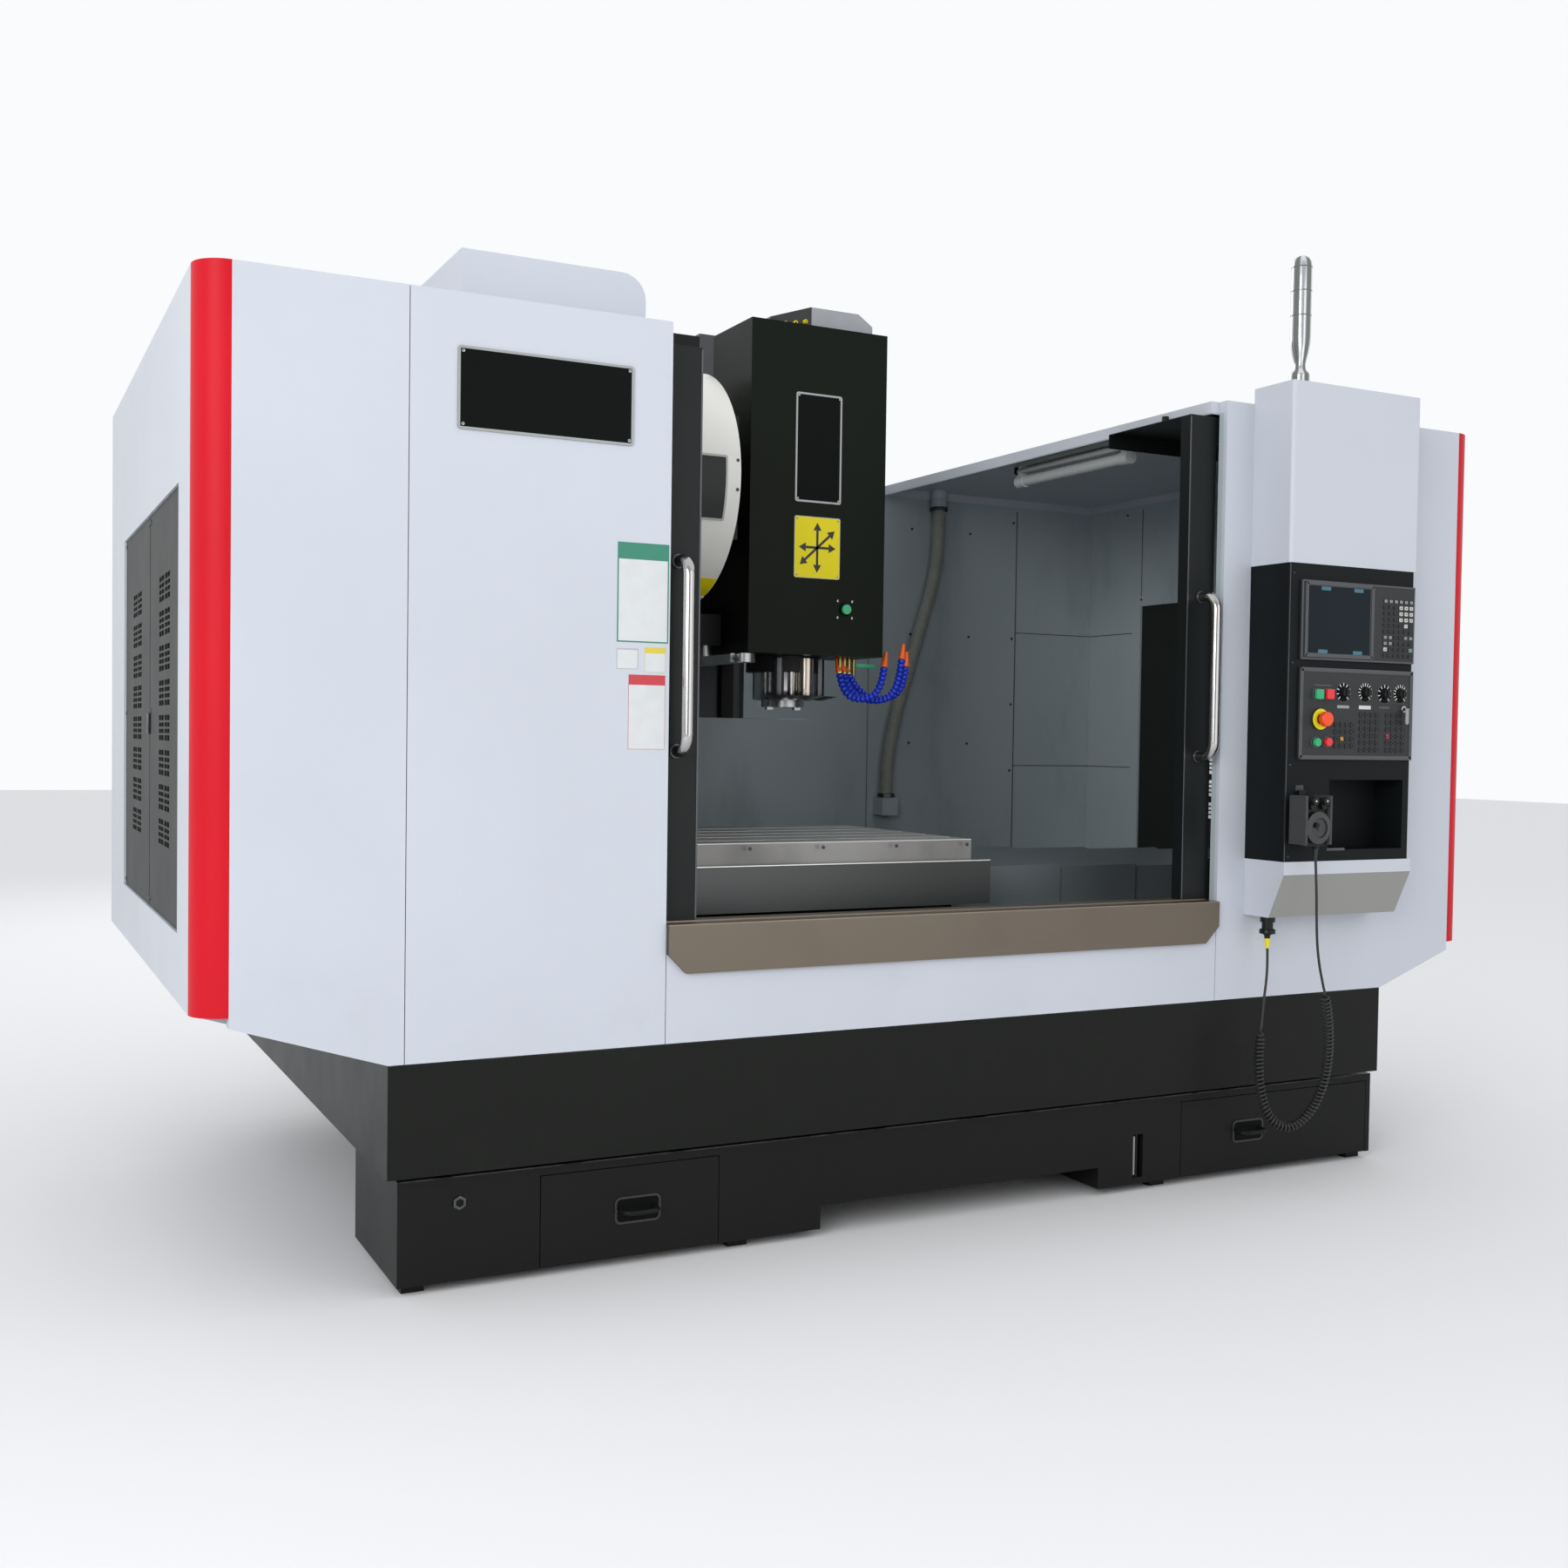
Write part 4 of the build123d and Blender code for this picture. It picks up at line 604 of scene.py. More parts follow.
pendantCord = {
    "lead": [(1003, -190, 925.5), (1006, -190, 872), (1011, -190, 806), (1013, -190, 738), (1017, -190, 672),
             (1027, -190, 612), (1045, -189, 556)],
    "curl": [(1045, -189, 556), (1067, -187, 474), (1078, -182, 386), (1075, -172, 296), (1046, -157, 213),
             (985, -140, 164), (920, -124, 198), (900, -110, 280), (906, -98, 366), (924, -88, 446)],
    "plug": [(924, -88, 446), (936, -82, 510), (952, -75, 570), (958, -70, 626), (955, -70, 676.5)],
    "diameter": 0.007,
    "coilDiameter": 0.026,
    "turnLength": 0.0105,
    "ramp": 0.045,
    "slowest": 0.15,
    "fineStep": 0.0004,
    "every": 2,
    "straightEvery": 40,
    "overlap": 0.002,
    "sides": 8,
}


def makePendantCord(settings):
    # plain lead, coil and plain lead in one line; the coil eases in and out over the ramp
    lead, curl, plug = ([at(*point) for point in settings[part]] for part in ("lead", "curl", "plug"))
    base = evenLine(splineLine(lead + curl[1:] + plug[1:]), settings["fineStep"])
    start = min(range(len(base)), key=lambda i: (base[i] - curl[0]).length)
    end = min(range(len(base)), key=lambda i: (base[i] - curl[-1]).length)
    wide = (settings["coilDiameter"] - settings["diameter"]) / 2
    around = frames(base)
    step = (base[1] - base[0]).length
    every = settings["every"]
    path = []
    angle = 0.0
    for i in range(0, len(base), every):
        along = (i - start) * step
        back = (end - i) * step
        if min(along, back) < -settings["overlap"]:
            if i % settings["straightEvery"] == 0 or i >= len(base) - every:
                path.append(base[i])
            continue
        amount = max(0.0, min(1.0, along / settings["ramp"], back / settings["ramp"]))
        amount = amount * amount * (3 - 2 * amount)
        angle += 2 * pi * step * every / settings["turnLength"] * max(settings["slowest"], amount)
        side, up = around[i]
        path.append(base[i] + wide * amount * (cos(angle) * side + sin(angle) * up))
    path[-1] = base[-1]
    cord = tubeMesh("pendantCord", path, [settings["diameter"] / 2] * len(path), settings["sides"],
                    finishes["cordBlack"])
    declareCord(cord, path, settings["diameter"], "medium", "pendant_lead", "curly_cord", "plug_lead")


makePendantCord(pendantCord)

wallConduit = {
    "route": [(1031, 2066), (1031, 1990), (1028, 1880), (1004, 1760), (965, 1640), (922, 1500), (880, 1370),
              (844, 1230), (822, 1100), (822, 990)],
    "depth": 1740,
    "diameter": 0.049,
    "ribLength": 0.009,
    "groove": 0.93,
    "sides": 20,
}


def makeConduit(settings):
    line = evenLine(splineLine([at(x, settings["depth"], z) for x, z in settings["route"]]),
                    settings["ribLength"] / 4)
    outer = settings["diameter"] / 2
    radii = [outer if i % 4 in (1, 2) else outer * settings["groove"] for i in range(len(line))]
    conduit = tubeMesh("wallConduit", line, radii, settings["sides"], finishes["conduitGrey"])
    declareCord(conduit, line, settings["diameter"], "stiff", "conduit")


makeConduit(wallConduit)
print("cords made")


# modelling: a primitive at its place, shaped in edit mode
ways = {
    "front": ((pi / 2, 0, 0), Vector((0, -1, 0))), "back": ((-pi / 2, 0, 0), Vector((0, 1, 0))),
    "right": ((0, pi / 2, 0), Vector((1, 0, 0))), "left": ((0, -pi / 2, 0), Vector((-1, 0, 0))),
    "up": ((0, 0, 0), Vector((0, 0, 1))), "down": ((pi, 0, 0), Vector((0, 0, -1))),
}
opposite = {"front": "back", "back": "front", "up": "down", "down": "up", "left": "right", "right": "left"}


def extent(node):
    # a node's box as x0, x1, depth0, depth1, z0, z1 in millimetres
    low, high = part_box(node)
    return (low[0] * 1000, high[0] * 1000, (low[1] - frontY) * 1000, (high[1] - frontY) * 1000,
            low[2] * 1000, high[2] * 1000)


def done():
    bpy.ops.object.mode_set(mode="OBJECT")


def only(piece):
    if bpy.context.object and bpy.context.object.mode != "OBJECT":
        done()
    bpy.ops.object.select_all(action="DESELECT")
    piece.select_set(True)
    bpy.context.view_layer.objects.active = piece


def settle(piece):
    only(piece)
    bpy.ops.object.transform_apply(location=True, rotation=True, scale=True)


def pick(piece, kind, test):
    only(piece)
    bpy.ops.object.mode_set(mode="EDIT")
    bpy.ops.mesh.select_mode(type=kind)
    bpy.ops.mesh.select_all(action="DESELECT")
    mesh = bmesh.from_edit_mesh(piece.data)
    for part in {"FACE": mesh.faces, "EDGE": mesh.edges, "VERT": mesh.verts}[kind]:
        if test(part):
            part.select_set(True)
    bmesh.update_edit_mesh(piece.data)


def paintPicked(piece, index):
    mesh = bmesh.from_edit_mesh(piece.data)
    for face in mesh.faces:
        if face.select:
            face.material_index = index
    bmesh.update_edit_mesh(piece.data)


# tests that say which faces or edges are meant
def everything(part):
    return True


def either(first, second):
    return lambda part: first(part) or second(part)


def faces(way):
    out = ways[way][1]
    return lambda face: face.normal.dot(out) > 0.95


def edges(axis):
    index = "xyz".index(axis)
    return lambda edge: abs((edge.verts[1].co - edge.verts[0].co).normalized()[index]) > 0.95


def rim(way):
    # the edges round the end that looks one way
    test = faces(way)
    return lambda edge: any(test(face) for face in edge.link_faces) and not all(
        test(face) for face in edge.link_faces)


def roundOff(piece, test, size, steps=2):
    pick(piece, "EDGE", test)
    bpy.ops.mesh.bevel(offset=size / 1000, segments=steps, affect="EDGES")
    done()


def insetFaces(piece, test, margin, depth=0.0, paint=None):
    pick(piece, "FACE", test)
    if margin:
        bpy.ops.mesh.inset(thickness=margin / 1000, depth=0)
    if depth:
        bpy.ops.mesh.inset(thickness=0.0003, depth=depth / 1000)
    if paint is not None:
        paintPicked(piece, paint)
    done()


def cutAt(piece, z):
    # a loop of edges round the piece at a height
    pick(piece, "FACE", everything)
    bpy.ops.mesh.bisect(plane_co=at(0, 0, z), plane_no=(0, 0, 1))
    done()


def bore(piece, way, margin):
    # opens a piece from end to end: both ends are inset and bridged
    pick(piece, "FACE", either(faces(way), faces(opposite[way])))
    bpy.ops.mesh.inset(thickness=margin / 1000, depth=0)
    bpy.ops.mesh.bridge_edge_loops()
    done()


def begin(name, paints, soft, sunk):
    # soft says which edges are rounded and how much, sunk which faces are set in
    piece = bpy.context.object
    piece.name = name
    piece.data.name = name
    for paint in paints:
        piece.data.materials.append(finishes[paint])
    settle(piece)
    if soft:
        roundOff(piece, *soft)
    if sunk:
        insetFaces(piece, *sunk)
    return piece


def addBlock(name, x0, x1, d0, d1, z0, z1, *paints, soft=None, sunk=None):
    bpy.ops.object.select_all(action="DESELECT")
    bpy.ops.mesh.primitive_cube_add(size=1, location=at((x0 + x1) / 2, (d0 + d1) / 2, (z0 + z1) / 2),
                                    scale=((x1 - x0) / 1000, (d1 - d0) / 1000, (z1 - z0) / 1000))
    return begin(name, paints, soft, sunk)


def addRound(name, x, d, z, radius, length, way, *paints, sides=24, soft=None, sunk=None):
    # a cylinder that stands on a point and reaches out one way
    turn, out = ways[way]
    bpy.ops.object.select_all(action="DESELECT")
    bpy.ops.mesh.primitive_cylinder_add(vertices=sides, radius=radius / 1000, depth=length / 1000,
                                        location=at(x, d, z) + out * length / 2000, rotation=turn)
    return begin(name, paints, soft, sunk)


def copyBy(piece, x=0.0, d=0.0, z=0.0, matrix=None):
    copy = bpy.data.objects.new(piece.name, piece.data.copy())
    bpy.context.scene.collection.objects.link(copy)
    copy.data.transform(matrix or Matrix.Translation((x / 1000, d / 1000, z / 1000)))
    return copy


def turnedCopy(piece, x, z, angle):
    about = Matrix.Translation(at(x, 0, z))
    return copyBy(piece, matrix=about @ Matrix.Rotation(angle, 4, "Y") @ about.inverted())


def toOrigin(piece):
    piece.data.transform(Matrix.Translation(-at(0, 0, 0)))
    return piece


def joined(name, group):
    only(group[0])
    for piece in group[1:]:
        piece.select_set(True)
    if len(group) > 1:
        bpy.ops.object.join()
    group[0].name = name
    group[0].data.name = name
    return group[0]


def finish(piece, body="machine", replaced=None, angle=30):
    settle(piece)
    bpy.ops.object.shade_smooth_by_angle(angle=angle * pi / 180)
    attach(piece, body)
    if replaced:
        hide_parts(replaced)


def makeScrews(name, spots, radius, height, way="front", body="machine", paint="darkSteel"):
    # button heads with a hex socket: one is modelled, the rest are its copies
    x0, d0, z0 = spots[0]
    head = addRound(name, x0, d0, z0, radius, height, way, paint, "holeBlack", sides=12,
                    soft=(rim(way), radius * 0.35))
    pick(head, "FACE", faces(way))
    bpy.ops.mesh.inset(thickness=radius * 0.22 / 1000, depth=0)
    bpy.ops.mesh.inset(thickness=0.0001, depth=-height * 0.5 / 1000)
    paintPicked(head, 1)
    done()
    finish(joined(name, [head] + [copyBy(head, x - x0, d - d0, z - z0) for x, d, z in spots[1:]]), body=body)


def makeRing(name, x, d, z, outer, inner, thick, way, paint, body="machine", sides=32):
    ring = addRound(name, x, d, z, outer, thick, way, paint, sides=sides)
    bore(ring, way, outer - inner)
    roundOff(ring, rim(way), thick * 0.25)
    finish(ring, body)


def makePlate(name, box, corner, margin, sink, paints, body="machine"):
    # a plate on a front face: rim, sunk field
    plate = addBlock(name, *box, *paints, soft=(edges("y"), corner, 4), sunk=(faces("front"), margin, -sink, 1))
    finish(plate, body)


# plates and bare notices on the front sheet
signs = {
    "plate": (-1277, -880, -4, 0, 1843, 2018),
    "notices": (
        ("noticeGreen", (-913, -790, -0.8, 0, 1410, 1631), 1597, 3),
        ("noticeYellow", (-846, -796, -0.8, 0, 1345, 1400), 1387, 0.6),
        ("noticeGrey", (-913, -862, -0.8, 0, 1350, 1396), 1394, 1.5),
        ("noticeRed", (-884, -796, -0.8, 0, 1172, 1338), 1316, 0.6),
    ),
    "rivets": [(x, -4, z) for x in (-1266, -891) for z in (1854, 2007)],
}


def makeSigns(settings):
    makePlate("frontPlate", settings["plate"], 7, 5.5, 1.2, ("rimDull", "plateBlack"))
    makeScrews("frontPlateRivets", settings["rivets"], 4, 2, paint="chromeRim")
    for name, box, split, margin in settings["notices"]:
        notice = addBlock(name, *box, name, "noticeWhite")
        cutAt(notice, split)
        insetFaces(notice, lambda face: faces("front")(face) and face.calc_center_median().z < split / 1000,
                   margin, 0, 1)
        finish(notice)


makeSigns(signs)
print("front plates made")

# head: bare plate, plate with axis arrows, screws round the release button, connectors of the shroud
head = {
    "plate": (-79, 71, 760, 763, 1881, 2193), "axes": (-79, 71, 761.5, 763, 1664, 1841),
    "plateScrews": [(x, 760, z) for x in (-70, 62) for z in (1890, 2184)]
                   + [(x, 761.5, z) for x in (-71, 63) for z in (1672, 1833)],
    "button": (91, 763, 1579), "screwReach": 24,
    "connectors": ((-95, 2394), (-62, 2400), (-30, 2407)), "connectorDepth": 813,
    "arrows": ((0, 50), (90, 38), (-48, 54)), "tipRadius": 15, "tipLead": 7,
}


def makeArrows(settings):
    # three crossing bars with a triangle at each end: the directions of the axes
    x0, x1, d0, d1, z0, z1 = settings["axes"]
    middle = at((x0 + x1) / 2, d0 - 0.2, (z0 + z1) / 2)
    group = []
    for angle, reach in settings["arrows"]:
        bar = toOrigin(addBlock("axisArrows", -reach, reach, -0.2, 0.2, -3.6, 3.6, "signBlack"))
        roundOff(bar, edges("y"), 1.2)
        for side in (1, -1):
            place = Vector((side * (reach + settings["tipLead"]) / 1000, 0, 0))
            bpy.ops.object.select_all(action="DESELECT")
            bpy.ops.mesh.primitive_cylinder_add(vertices=3, radius=settings["tipRadius"] / 1000, depth=0.0004,
                                                location=place, rotation=(pi / 2, 0, 0))
            tip = begin("axisTip", ["signBlack"], None, (faces("front"), 2.5, 0.1))
            tip.data.transform(Matrix.Translation(place) @ Matrix.Rotation(side * pi / 2, 4, "Y")
                               @ Matrix.Translation(-place))
            bar = joined("axisArrows", [bar, tip])
        bar.data.transform(Matrix.Translation(middle) @ Matrix.Rotation(-(angle + 90) * pi / 180, 4, "Y"))
        group.append(bar)
    finish(joined("axisArrows", group), "head_unit")


def makeHead(settings):
    makePlate("headPlate", settings["plate"], 7, 5.5, 1.0, ("rimDull", "plateBlack"), "head_unit")
    makePlate("axisPlate", settings["axes"], 6, 1.5, 0.2, ("rimDull", "signYellow"), "head_unit")
    makeArrows(settings)
    makeScrews("plateScrews", settings["plateScrews"], 3.4, 1.6, body="head_unit", paint="chromeRim")
    x, d, z = settings["button"]
    reach = settings["screwReach"]
    makeScrews("releaseScrews", [(x + i * reach, d, z + j * reach) for i in (-1, 1) for j in (-1, 1)], 4.2, 2.4,
               body="head_unit", paint="chromeRim")
    makeRing("releaseRing", x, d, z, 19, 15, 3, "front", "plateBlack", "head_unit")
    connectors = [addRound("shroudConnectors", x, settings["connectorDepth"], z, 6, 12, "front", "signYellow",
                           "plateBlack", sides=12, soft=(rim("front"), 1.5), sunk=(faces("front"), 1.5, -2, 1))
                  for x, z in settings["connectors"]]
    finish(joined("shroudConnectors", connectors), "head_unit")


makeHead(head)

# spindle nose: a long bright sleeve, screws under the casting, wash posts
nose = {
    "radius": 91, "wall": 1.8, "bottom": 1316, "top": 1397, "centre": 975,
    "screws": 6, "screwCircle": 78, "screwTurn": 0.3, "screwHeight": 1338,
    "posts": ((20, 872, 26, "noseBeige"), (-60, 890, 18, "darkSteel"), (86, 905, 15, "darkSteel"),
              (-24, 876, 7, "chromeRim")),
    "postBottom": 1322, "postLength": 116, "postJoint": 1356,
}


def makeNose(settings):
    sleeve = addRound("noseSleeve", 0, settings["centre"], settings["bottom"], settings["radius"],
                      settings["top"] - settings["bottom"], "up", "chromeRim", sides=48)
    bore(sleeve, "up", settings["wall"])
    roundOff(sleeve, rim("down"), 0.8)
    finish(sleeve, body="head_unit")
    circle = settings["screwCircle"]
    angles = [k * 2 * pi / settings["screws"] + settings["screwTurn"] for k in range(settings["screws"])]
    makeScrews("noseScrews", [(circle * cos(angle), settings["centre"] + circle * sin(angle),
                               settings["screwHeight"]) for angle in angles], 6, 6, "down", "head_unit")
    posts = []
    joint = settings["postJoint"]
    for x, d, wide, paint in settings["posts"]:
        post = addRound("nosePosts", x, d, settings["postBottom"], wide, settings["postLength"], "up", paint,
                        "chromeRim", sides=28, soft=(rim("down"), wide * 0.3, 3),
                        sunk=(faces("down"), wide * 0.25, -6))
        cutAt(post, joint)
        roundOff(post, lambda edge: all(abs(v.co.z - joint / 1000) < 0.0001 for v in edge.verts), 1.2, 1)
        posts.append(post)
    finish(joined("nosePosts", posts), body="head_unit", angle=40)


makeNose(nose)
print("head made")

# coolant hoses: brass pipes, beads threaded on the route, cone tips and a tap lever
hoses = {
    "routes": (
        ((145, 885, 1398), (150, 870, 1330), (215, 850, 1318), (262, 836, 1350), (268, 832, 1420)),
        ((172, 905, 1398), (185, 900, 1340), (262, 885, 1314), (342, 872, 1338), (350, 866, 1448)),
        ((199, 925, 1398), (225, 905, 1335), (300, 892, 1322), (366, 880, 1350), (369, 876, 1426)),
    ),
    "beadRadius": 11.5, "beadLength": 14.5, "pitch": 0.0135, "tipRadius": 12, "tip": 46, "tipEnd": 0.42,
    "sparePipe": (226, 945, 1392), "pipeRadius": 6.5, "pipeLength": 52, "lever": (232, 300, 938, 946, 1420, 1432),
}


def standing(point, direction):
    # a matrix that stands a piece modelled at the origin, pointing up, on a point
    return Matrix.Translation(point) @ direction.to_track_quat("Z", "Y").to_matrix().to_4x4()


def makePipe(settings, x, d, z):
    return addRound("pipe", x, d, z, settings["pipeRadius"], settings["pipeLength"], "up", "brassPipe", sides=16,
                    soft=(rim("down"), 1.5))


def makeHoses(settings):
    beads, pipes, tips = [], [], []
    bead = toOrigin(addRound("bead", 0, 0, 0, settings["beadRadius"], settings["beadLength"], "up", "hoseBlue",
                             sides=14))
    roundOff(bead, rim("up"), 6.5)
    roundOff(bead, rim("down"), 4, 1)
    tip = toOrigin(addRound("tip", 0, 0, 0, settings["tipRadius"], settings["tip"], "up", "nozzleOrange", sides=16))
    pick(tip, "FACE", faces("up"))
    bpy.ops.transform.resize(value=(settings["tipEnd"], settings["tipEnd"], 1),
                             center_override=(0, 0, settings["tip"] / 1000))
    bpy.ops.mesh.inset(thickness=0.001, depth=-0.004)
    done()
    roundOff(tip, rim("down"), 3)
    for route in settings["routes"]:
        line = evenLine(splineLine([at(*point) for point in route]), settings["pitch"])
        beads += [copyBy(bead, matrix=standing(a, b - a)) for a, b in zip(line, line[1:])]
        tips.append(copyBy(tip, matrix=standing(line[-1], line[-1] - line[-2])))
        tips.append(copyBy(tip, matrix=standing(line[0] + 0.3 * (line[0] - line[1]), line[0] - line[1])))
        x, d, z = route[0]
        pipes.append(makePipe(settings, x, d, z - 6))
        pipes.append(addRound("nut", x, d, z + 2, 10, 9, "up", "brassPipe", sides=6, soft=(rim("up"), 1.5)))
    pipes.append(makePipe(settings, *settings["sparePipe"]))
    lever = addBlock("hoseTap", *settings["lever"], "buttonGreen", soft=(everything, 3))
    for spent in (bead, tip):
        bpy.data.objects.remove(spent)
    for piece, slotName in ((joined("hoseBeads", beads), "cord_black"), (joined("hoseTips", tips), "brass_pipe"),
                            (joined("hosePipes", pipes), "brass_pipe"), (lever, "button_green")):
        finish(piece, "head_unit", "coolant_nozzles", angle=50)


makeHoses(hoses)
print("coolant hoses made")

# magazine drum: curved window with its frame, bands at the lower edge, latch and screws
drum = {
    "depth": 982, "height": 1923, "radius": 331,
    "latch": (-470, -430, 643, 654, 1876, 1890),
    "screws": [(x, 655, z) for x in (-588, -312) for z in (1880, 1960)],
}


def makeCurved(name, x0, x1, z0, z1, thick, steps, paints, sunk=None):
    # a flat piece, modelled with depth 0 on the drum's front, cut in steps and laid round the drum
    piece = addBlock(name, x0, x1, -thick, 0, z0, z1, *paints, soft=(edges("y"), 5) if sunk else None, sunk=sunk)
    for k in range(1, steps):
        cutAt(piece, z0 + (z1 - z0) * k / steps)
    radius, height = drum["radius"] / 1000, drum["height"] / 1000
    for vertex in piece.data.vertices:
        proud = frontY - vertex.co.y + radius
        angle = (vertex.co.z - height) / radius
        vertex.co.y = frontY + drum["depth"] / 1000 - proud * cos(angle)
        vertex.co.z = height + proud * sin(angle)
    finish(piece, angle=40)


makeCurved("drumWindow", -556, -344, 1792, 1970, 4, 12, ("rimDull", "windowDark"),
           (faces("front"), 6, -2.5, 1))
makeCurved("drumBand", -598, -305, 1505, 1600, 1, 8, ("signYellow",))
makeCurved("drumRim", -598, -305, 1478, 1500, 3, 4, ("drumWhite",))
finish(addBlock("drumLatch", *drum["latch"], "chromeRim", soft=(everything, 3)))
makeScrews("drumScrews", drum["screws"], 5, 4)
print("magazine dressed")

# operator station: display, keypads, labels and the small parts on both panels
station = {
    "face": -154.3, "housing": -148, "screen": (992, 1224, 1448, 1632), "panel": (970, 1391, 1165, 1411),
    "display": (970, 1391, 1432, 1644), "softKeys": [(1057, 1624), (1177, 1624), (1049, 1455), (1177, 1455)],
    "stop": (1041, 1273), "knobs": {"mode_knob": (1128, 1347), "feed_knob": (1209, 1349),
                                    "rapid_knob": (1282, 1346), "spindle_knob": (1342, 1348)},
    "keySwitch": (1352, 1306),
    "labels": ((1187, 1231, 1303, 1313, "keyWhite"), (1106, 1150, 1304, 1312, "keyLight"),
               (1262, 1302, 1306, 1312, "bezelGrey"), (1020, 1082, 1362, 1366, "bezelGrey"),
               (1086, 1152, 918, 925, "bezelGrey")),
    "lampPlates": (("lampPlateLeft", 1032, 1340), ("lampPlateRight", 1070, 1341)),
    "collars": (("startCollar", 1027, 1211), ("holdCollar", 1068, 1212)),
    "screws": [(946, -148, z) for z in (1150, 1422, 1660, 905)],
}


def makeFrame(name, box, proud, margin, soft=3):
    # a flat border on a panel
    x0, x1, z0, z1 = box
    face = station["face"]
    border = addBlock(name, x0, x1, face - proud, face, z0, z1, "bezelGrey", soft=(edges("y"), soft, 3))
    bore(border, "front", margin)
    roundOff(border, rim("front"), min(0.6, proud * 0.3), 1)
    finish(border)


def makeDisplay(settings):
    face = settings["face"]
    x0, x1, z0, z1 = settings["screen"]
    makeFrame("displayBezel", (x0 - 10, x1 + 10, z0 - 9, z1 + 9), 3, 9.5)
    finish(addBlock("displayGlass", x0, x1, face - 0.6, face + 1.9, z0, z1, "bezelGrey", "screenDark",
                    soft=(edges("y"), 3), sunk=(faces("front"), 2, -1.2, 1)))
    makeFrame("displayBorder", settings["display"], 1.2, 5)
    makeFrame("panelBorder", settings["panel"], 1.6, 11)
    keys = [addBlock("softKeys", x - 17, x + 17, face - 0.3, face + 0.7, z - 5, z + 5, "screenBlue",
                     soft=(edges("y"), 2), sunk=(faces("front"), 1, -0.1)) for x, z in settings["softKeys"]]
    finish(joined("softKeys", keys))


def makeKeys(name, spots, size, paints, legend):
    # one key cap with a light mark, copied to each place
    face = station["face"] - 2
    width, height = size
    x0, z0 = spots[0]
    key = addBlock(name, x0 - width / 2, x0 + width / 2, face - 0.9, face, z0 - height / 2, z0 + height / 2, *paints,
                   soft=(edges("y"), 1.8))
    roundOff(key, rim("front"), 0.4, 1)
    insetFaces(key, faces("front"), legend, -0.1, 1)
    finish(joined(name, [key] + [copyBy(key, x - x0, 0, z - z0) for x, z in spots[1:]]))


def grid(centre, columns, rows, pitch):
    return [(centre[0] + (i - (columns - 1) / 2) * pitch[0], centre[1] - (j - (rows - 1) / 2) * pitch[1])
            for j in range(rows) for i in range(columns)]


keypads = {
    "screen": ((1327, 1527), 6, 10, (19.5, 16.5)), "panelPitch": (20, 19),
    "panel": (((1134, 1231), 4, 4), ((1227, 1240), 4, 6), ((1326, 1240), 4, 6)),
    "key": (13, 10), "smallKey": (11, 8), "lampKey": (13, 12), "panelKey": (14, 13),
}
dials = {"disc": 27, "thick": 0.8, "ticks": (9, 13), "tick": (17, 25.5), "sweep": 1.5 * pi,
         "pointer": (-13.9, -12.9), "pointerReach": (1, 10)}


def makeKeypads(settings):
    pad = grid(*settings["screen"])
    key, lampKey = settings["key"], settings["lampKey"]
    white = [pad[6 * row + column] for row in (1, 2, 3) for column in (3, 4, 5)] + [pad[28], pad[48]]
    light = pad[0:6] + [pad[36], pad[37]] + pad[40:44]
    green = [pad[53]]
    makeKeys("keysWhite", white, key, ("keyWhite", "keyWhite"), 2.5)
    makeKeys("keysLight", light, settings["smallKey"], ("keyLight", "keyDark"), 2.6)
    makeKeys("keysGreen", green, key, ("keyGreen", "keyLight"), 3)
    makeKeys("keysDark", [spot for spot in pad if spot not in white + light + green], key,
             ("keyDark", "legendGrey"), 3.9)
    left, middle, right = (grid(*block, settings["panelPitch"]) for block in settings["panel"])
    yellow, red = left[9], right[12]
    makeKeys("panelKeysYellow", [yellow], lampKey, ("keyOrange", "keyYellow"), 2)
    makeKeys("panelKeysRed", [red], lampKey, ("keyRed", "keyLight"), 3)
    makeKeys("panelKeys", [spot for spot in left + middle + right if spot not in (yellow, red)],
             settings["panelKey"], ("keyDark", "legendGrey"), 4.2)


def makeDials(settings, knobs, face):
    # a dark disc with light ticks round each knob, and a pointer line on the knob
    tickFrom, tickTo = settings["tick"]
    pointerFrom, pointerTo = settings["pointerReach"]
    for number, (knob, (x, z)) in enumerate(knobs.items()):
        disc = addRound("dial_" + knob, x, face, z, settings["disc"], settings["thick"], "front", "bezelGrey",
                        "plateBlack", sides=40, sunk=(faces("front"), 1.2, -0.2, 1))
        tick = addBlock("tick", x - 1.3, x + 1.3, face - 1.0, face - 0.5, z + tickFrom, z + tickTo, "signWhite",
                        soft=(edges("y"), 0.5, 1))
        count = settings["ticks"][number % 2]
        ticks = [turnedCopy(tick, x, z, (k / (count - 1) - 0.5) * settings["sweep"]) for k in range(count)]
        bpy.data.objects.remove(tick)
        finish(joined("dial_" + knob, [disc] + ticks))
        front, back = (face + depth for depth in settings["pointer"])
        finish(addBlock("pointer_" + knob, x - 1.1, x + 1.1, front, back, z + pointerFrom, z + pointerTo,
                        "signWhite", soft=(edges("y"), 0.6, 1)), knob)


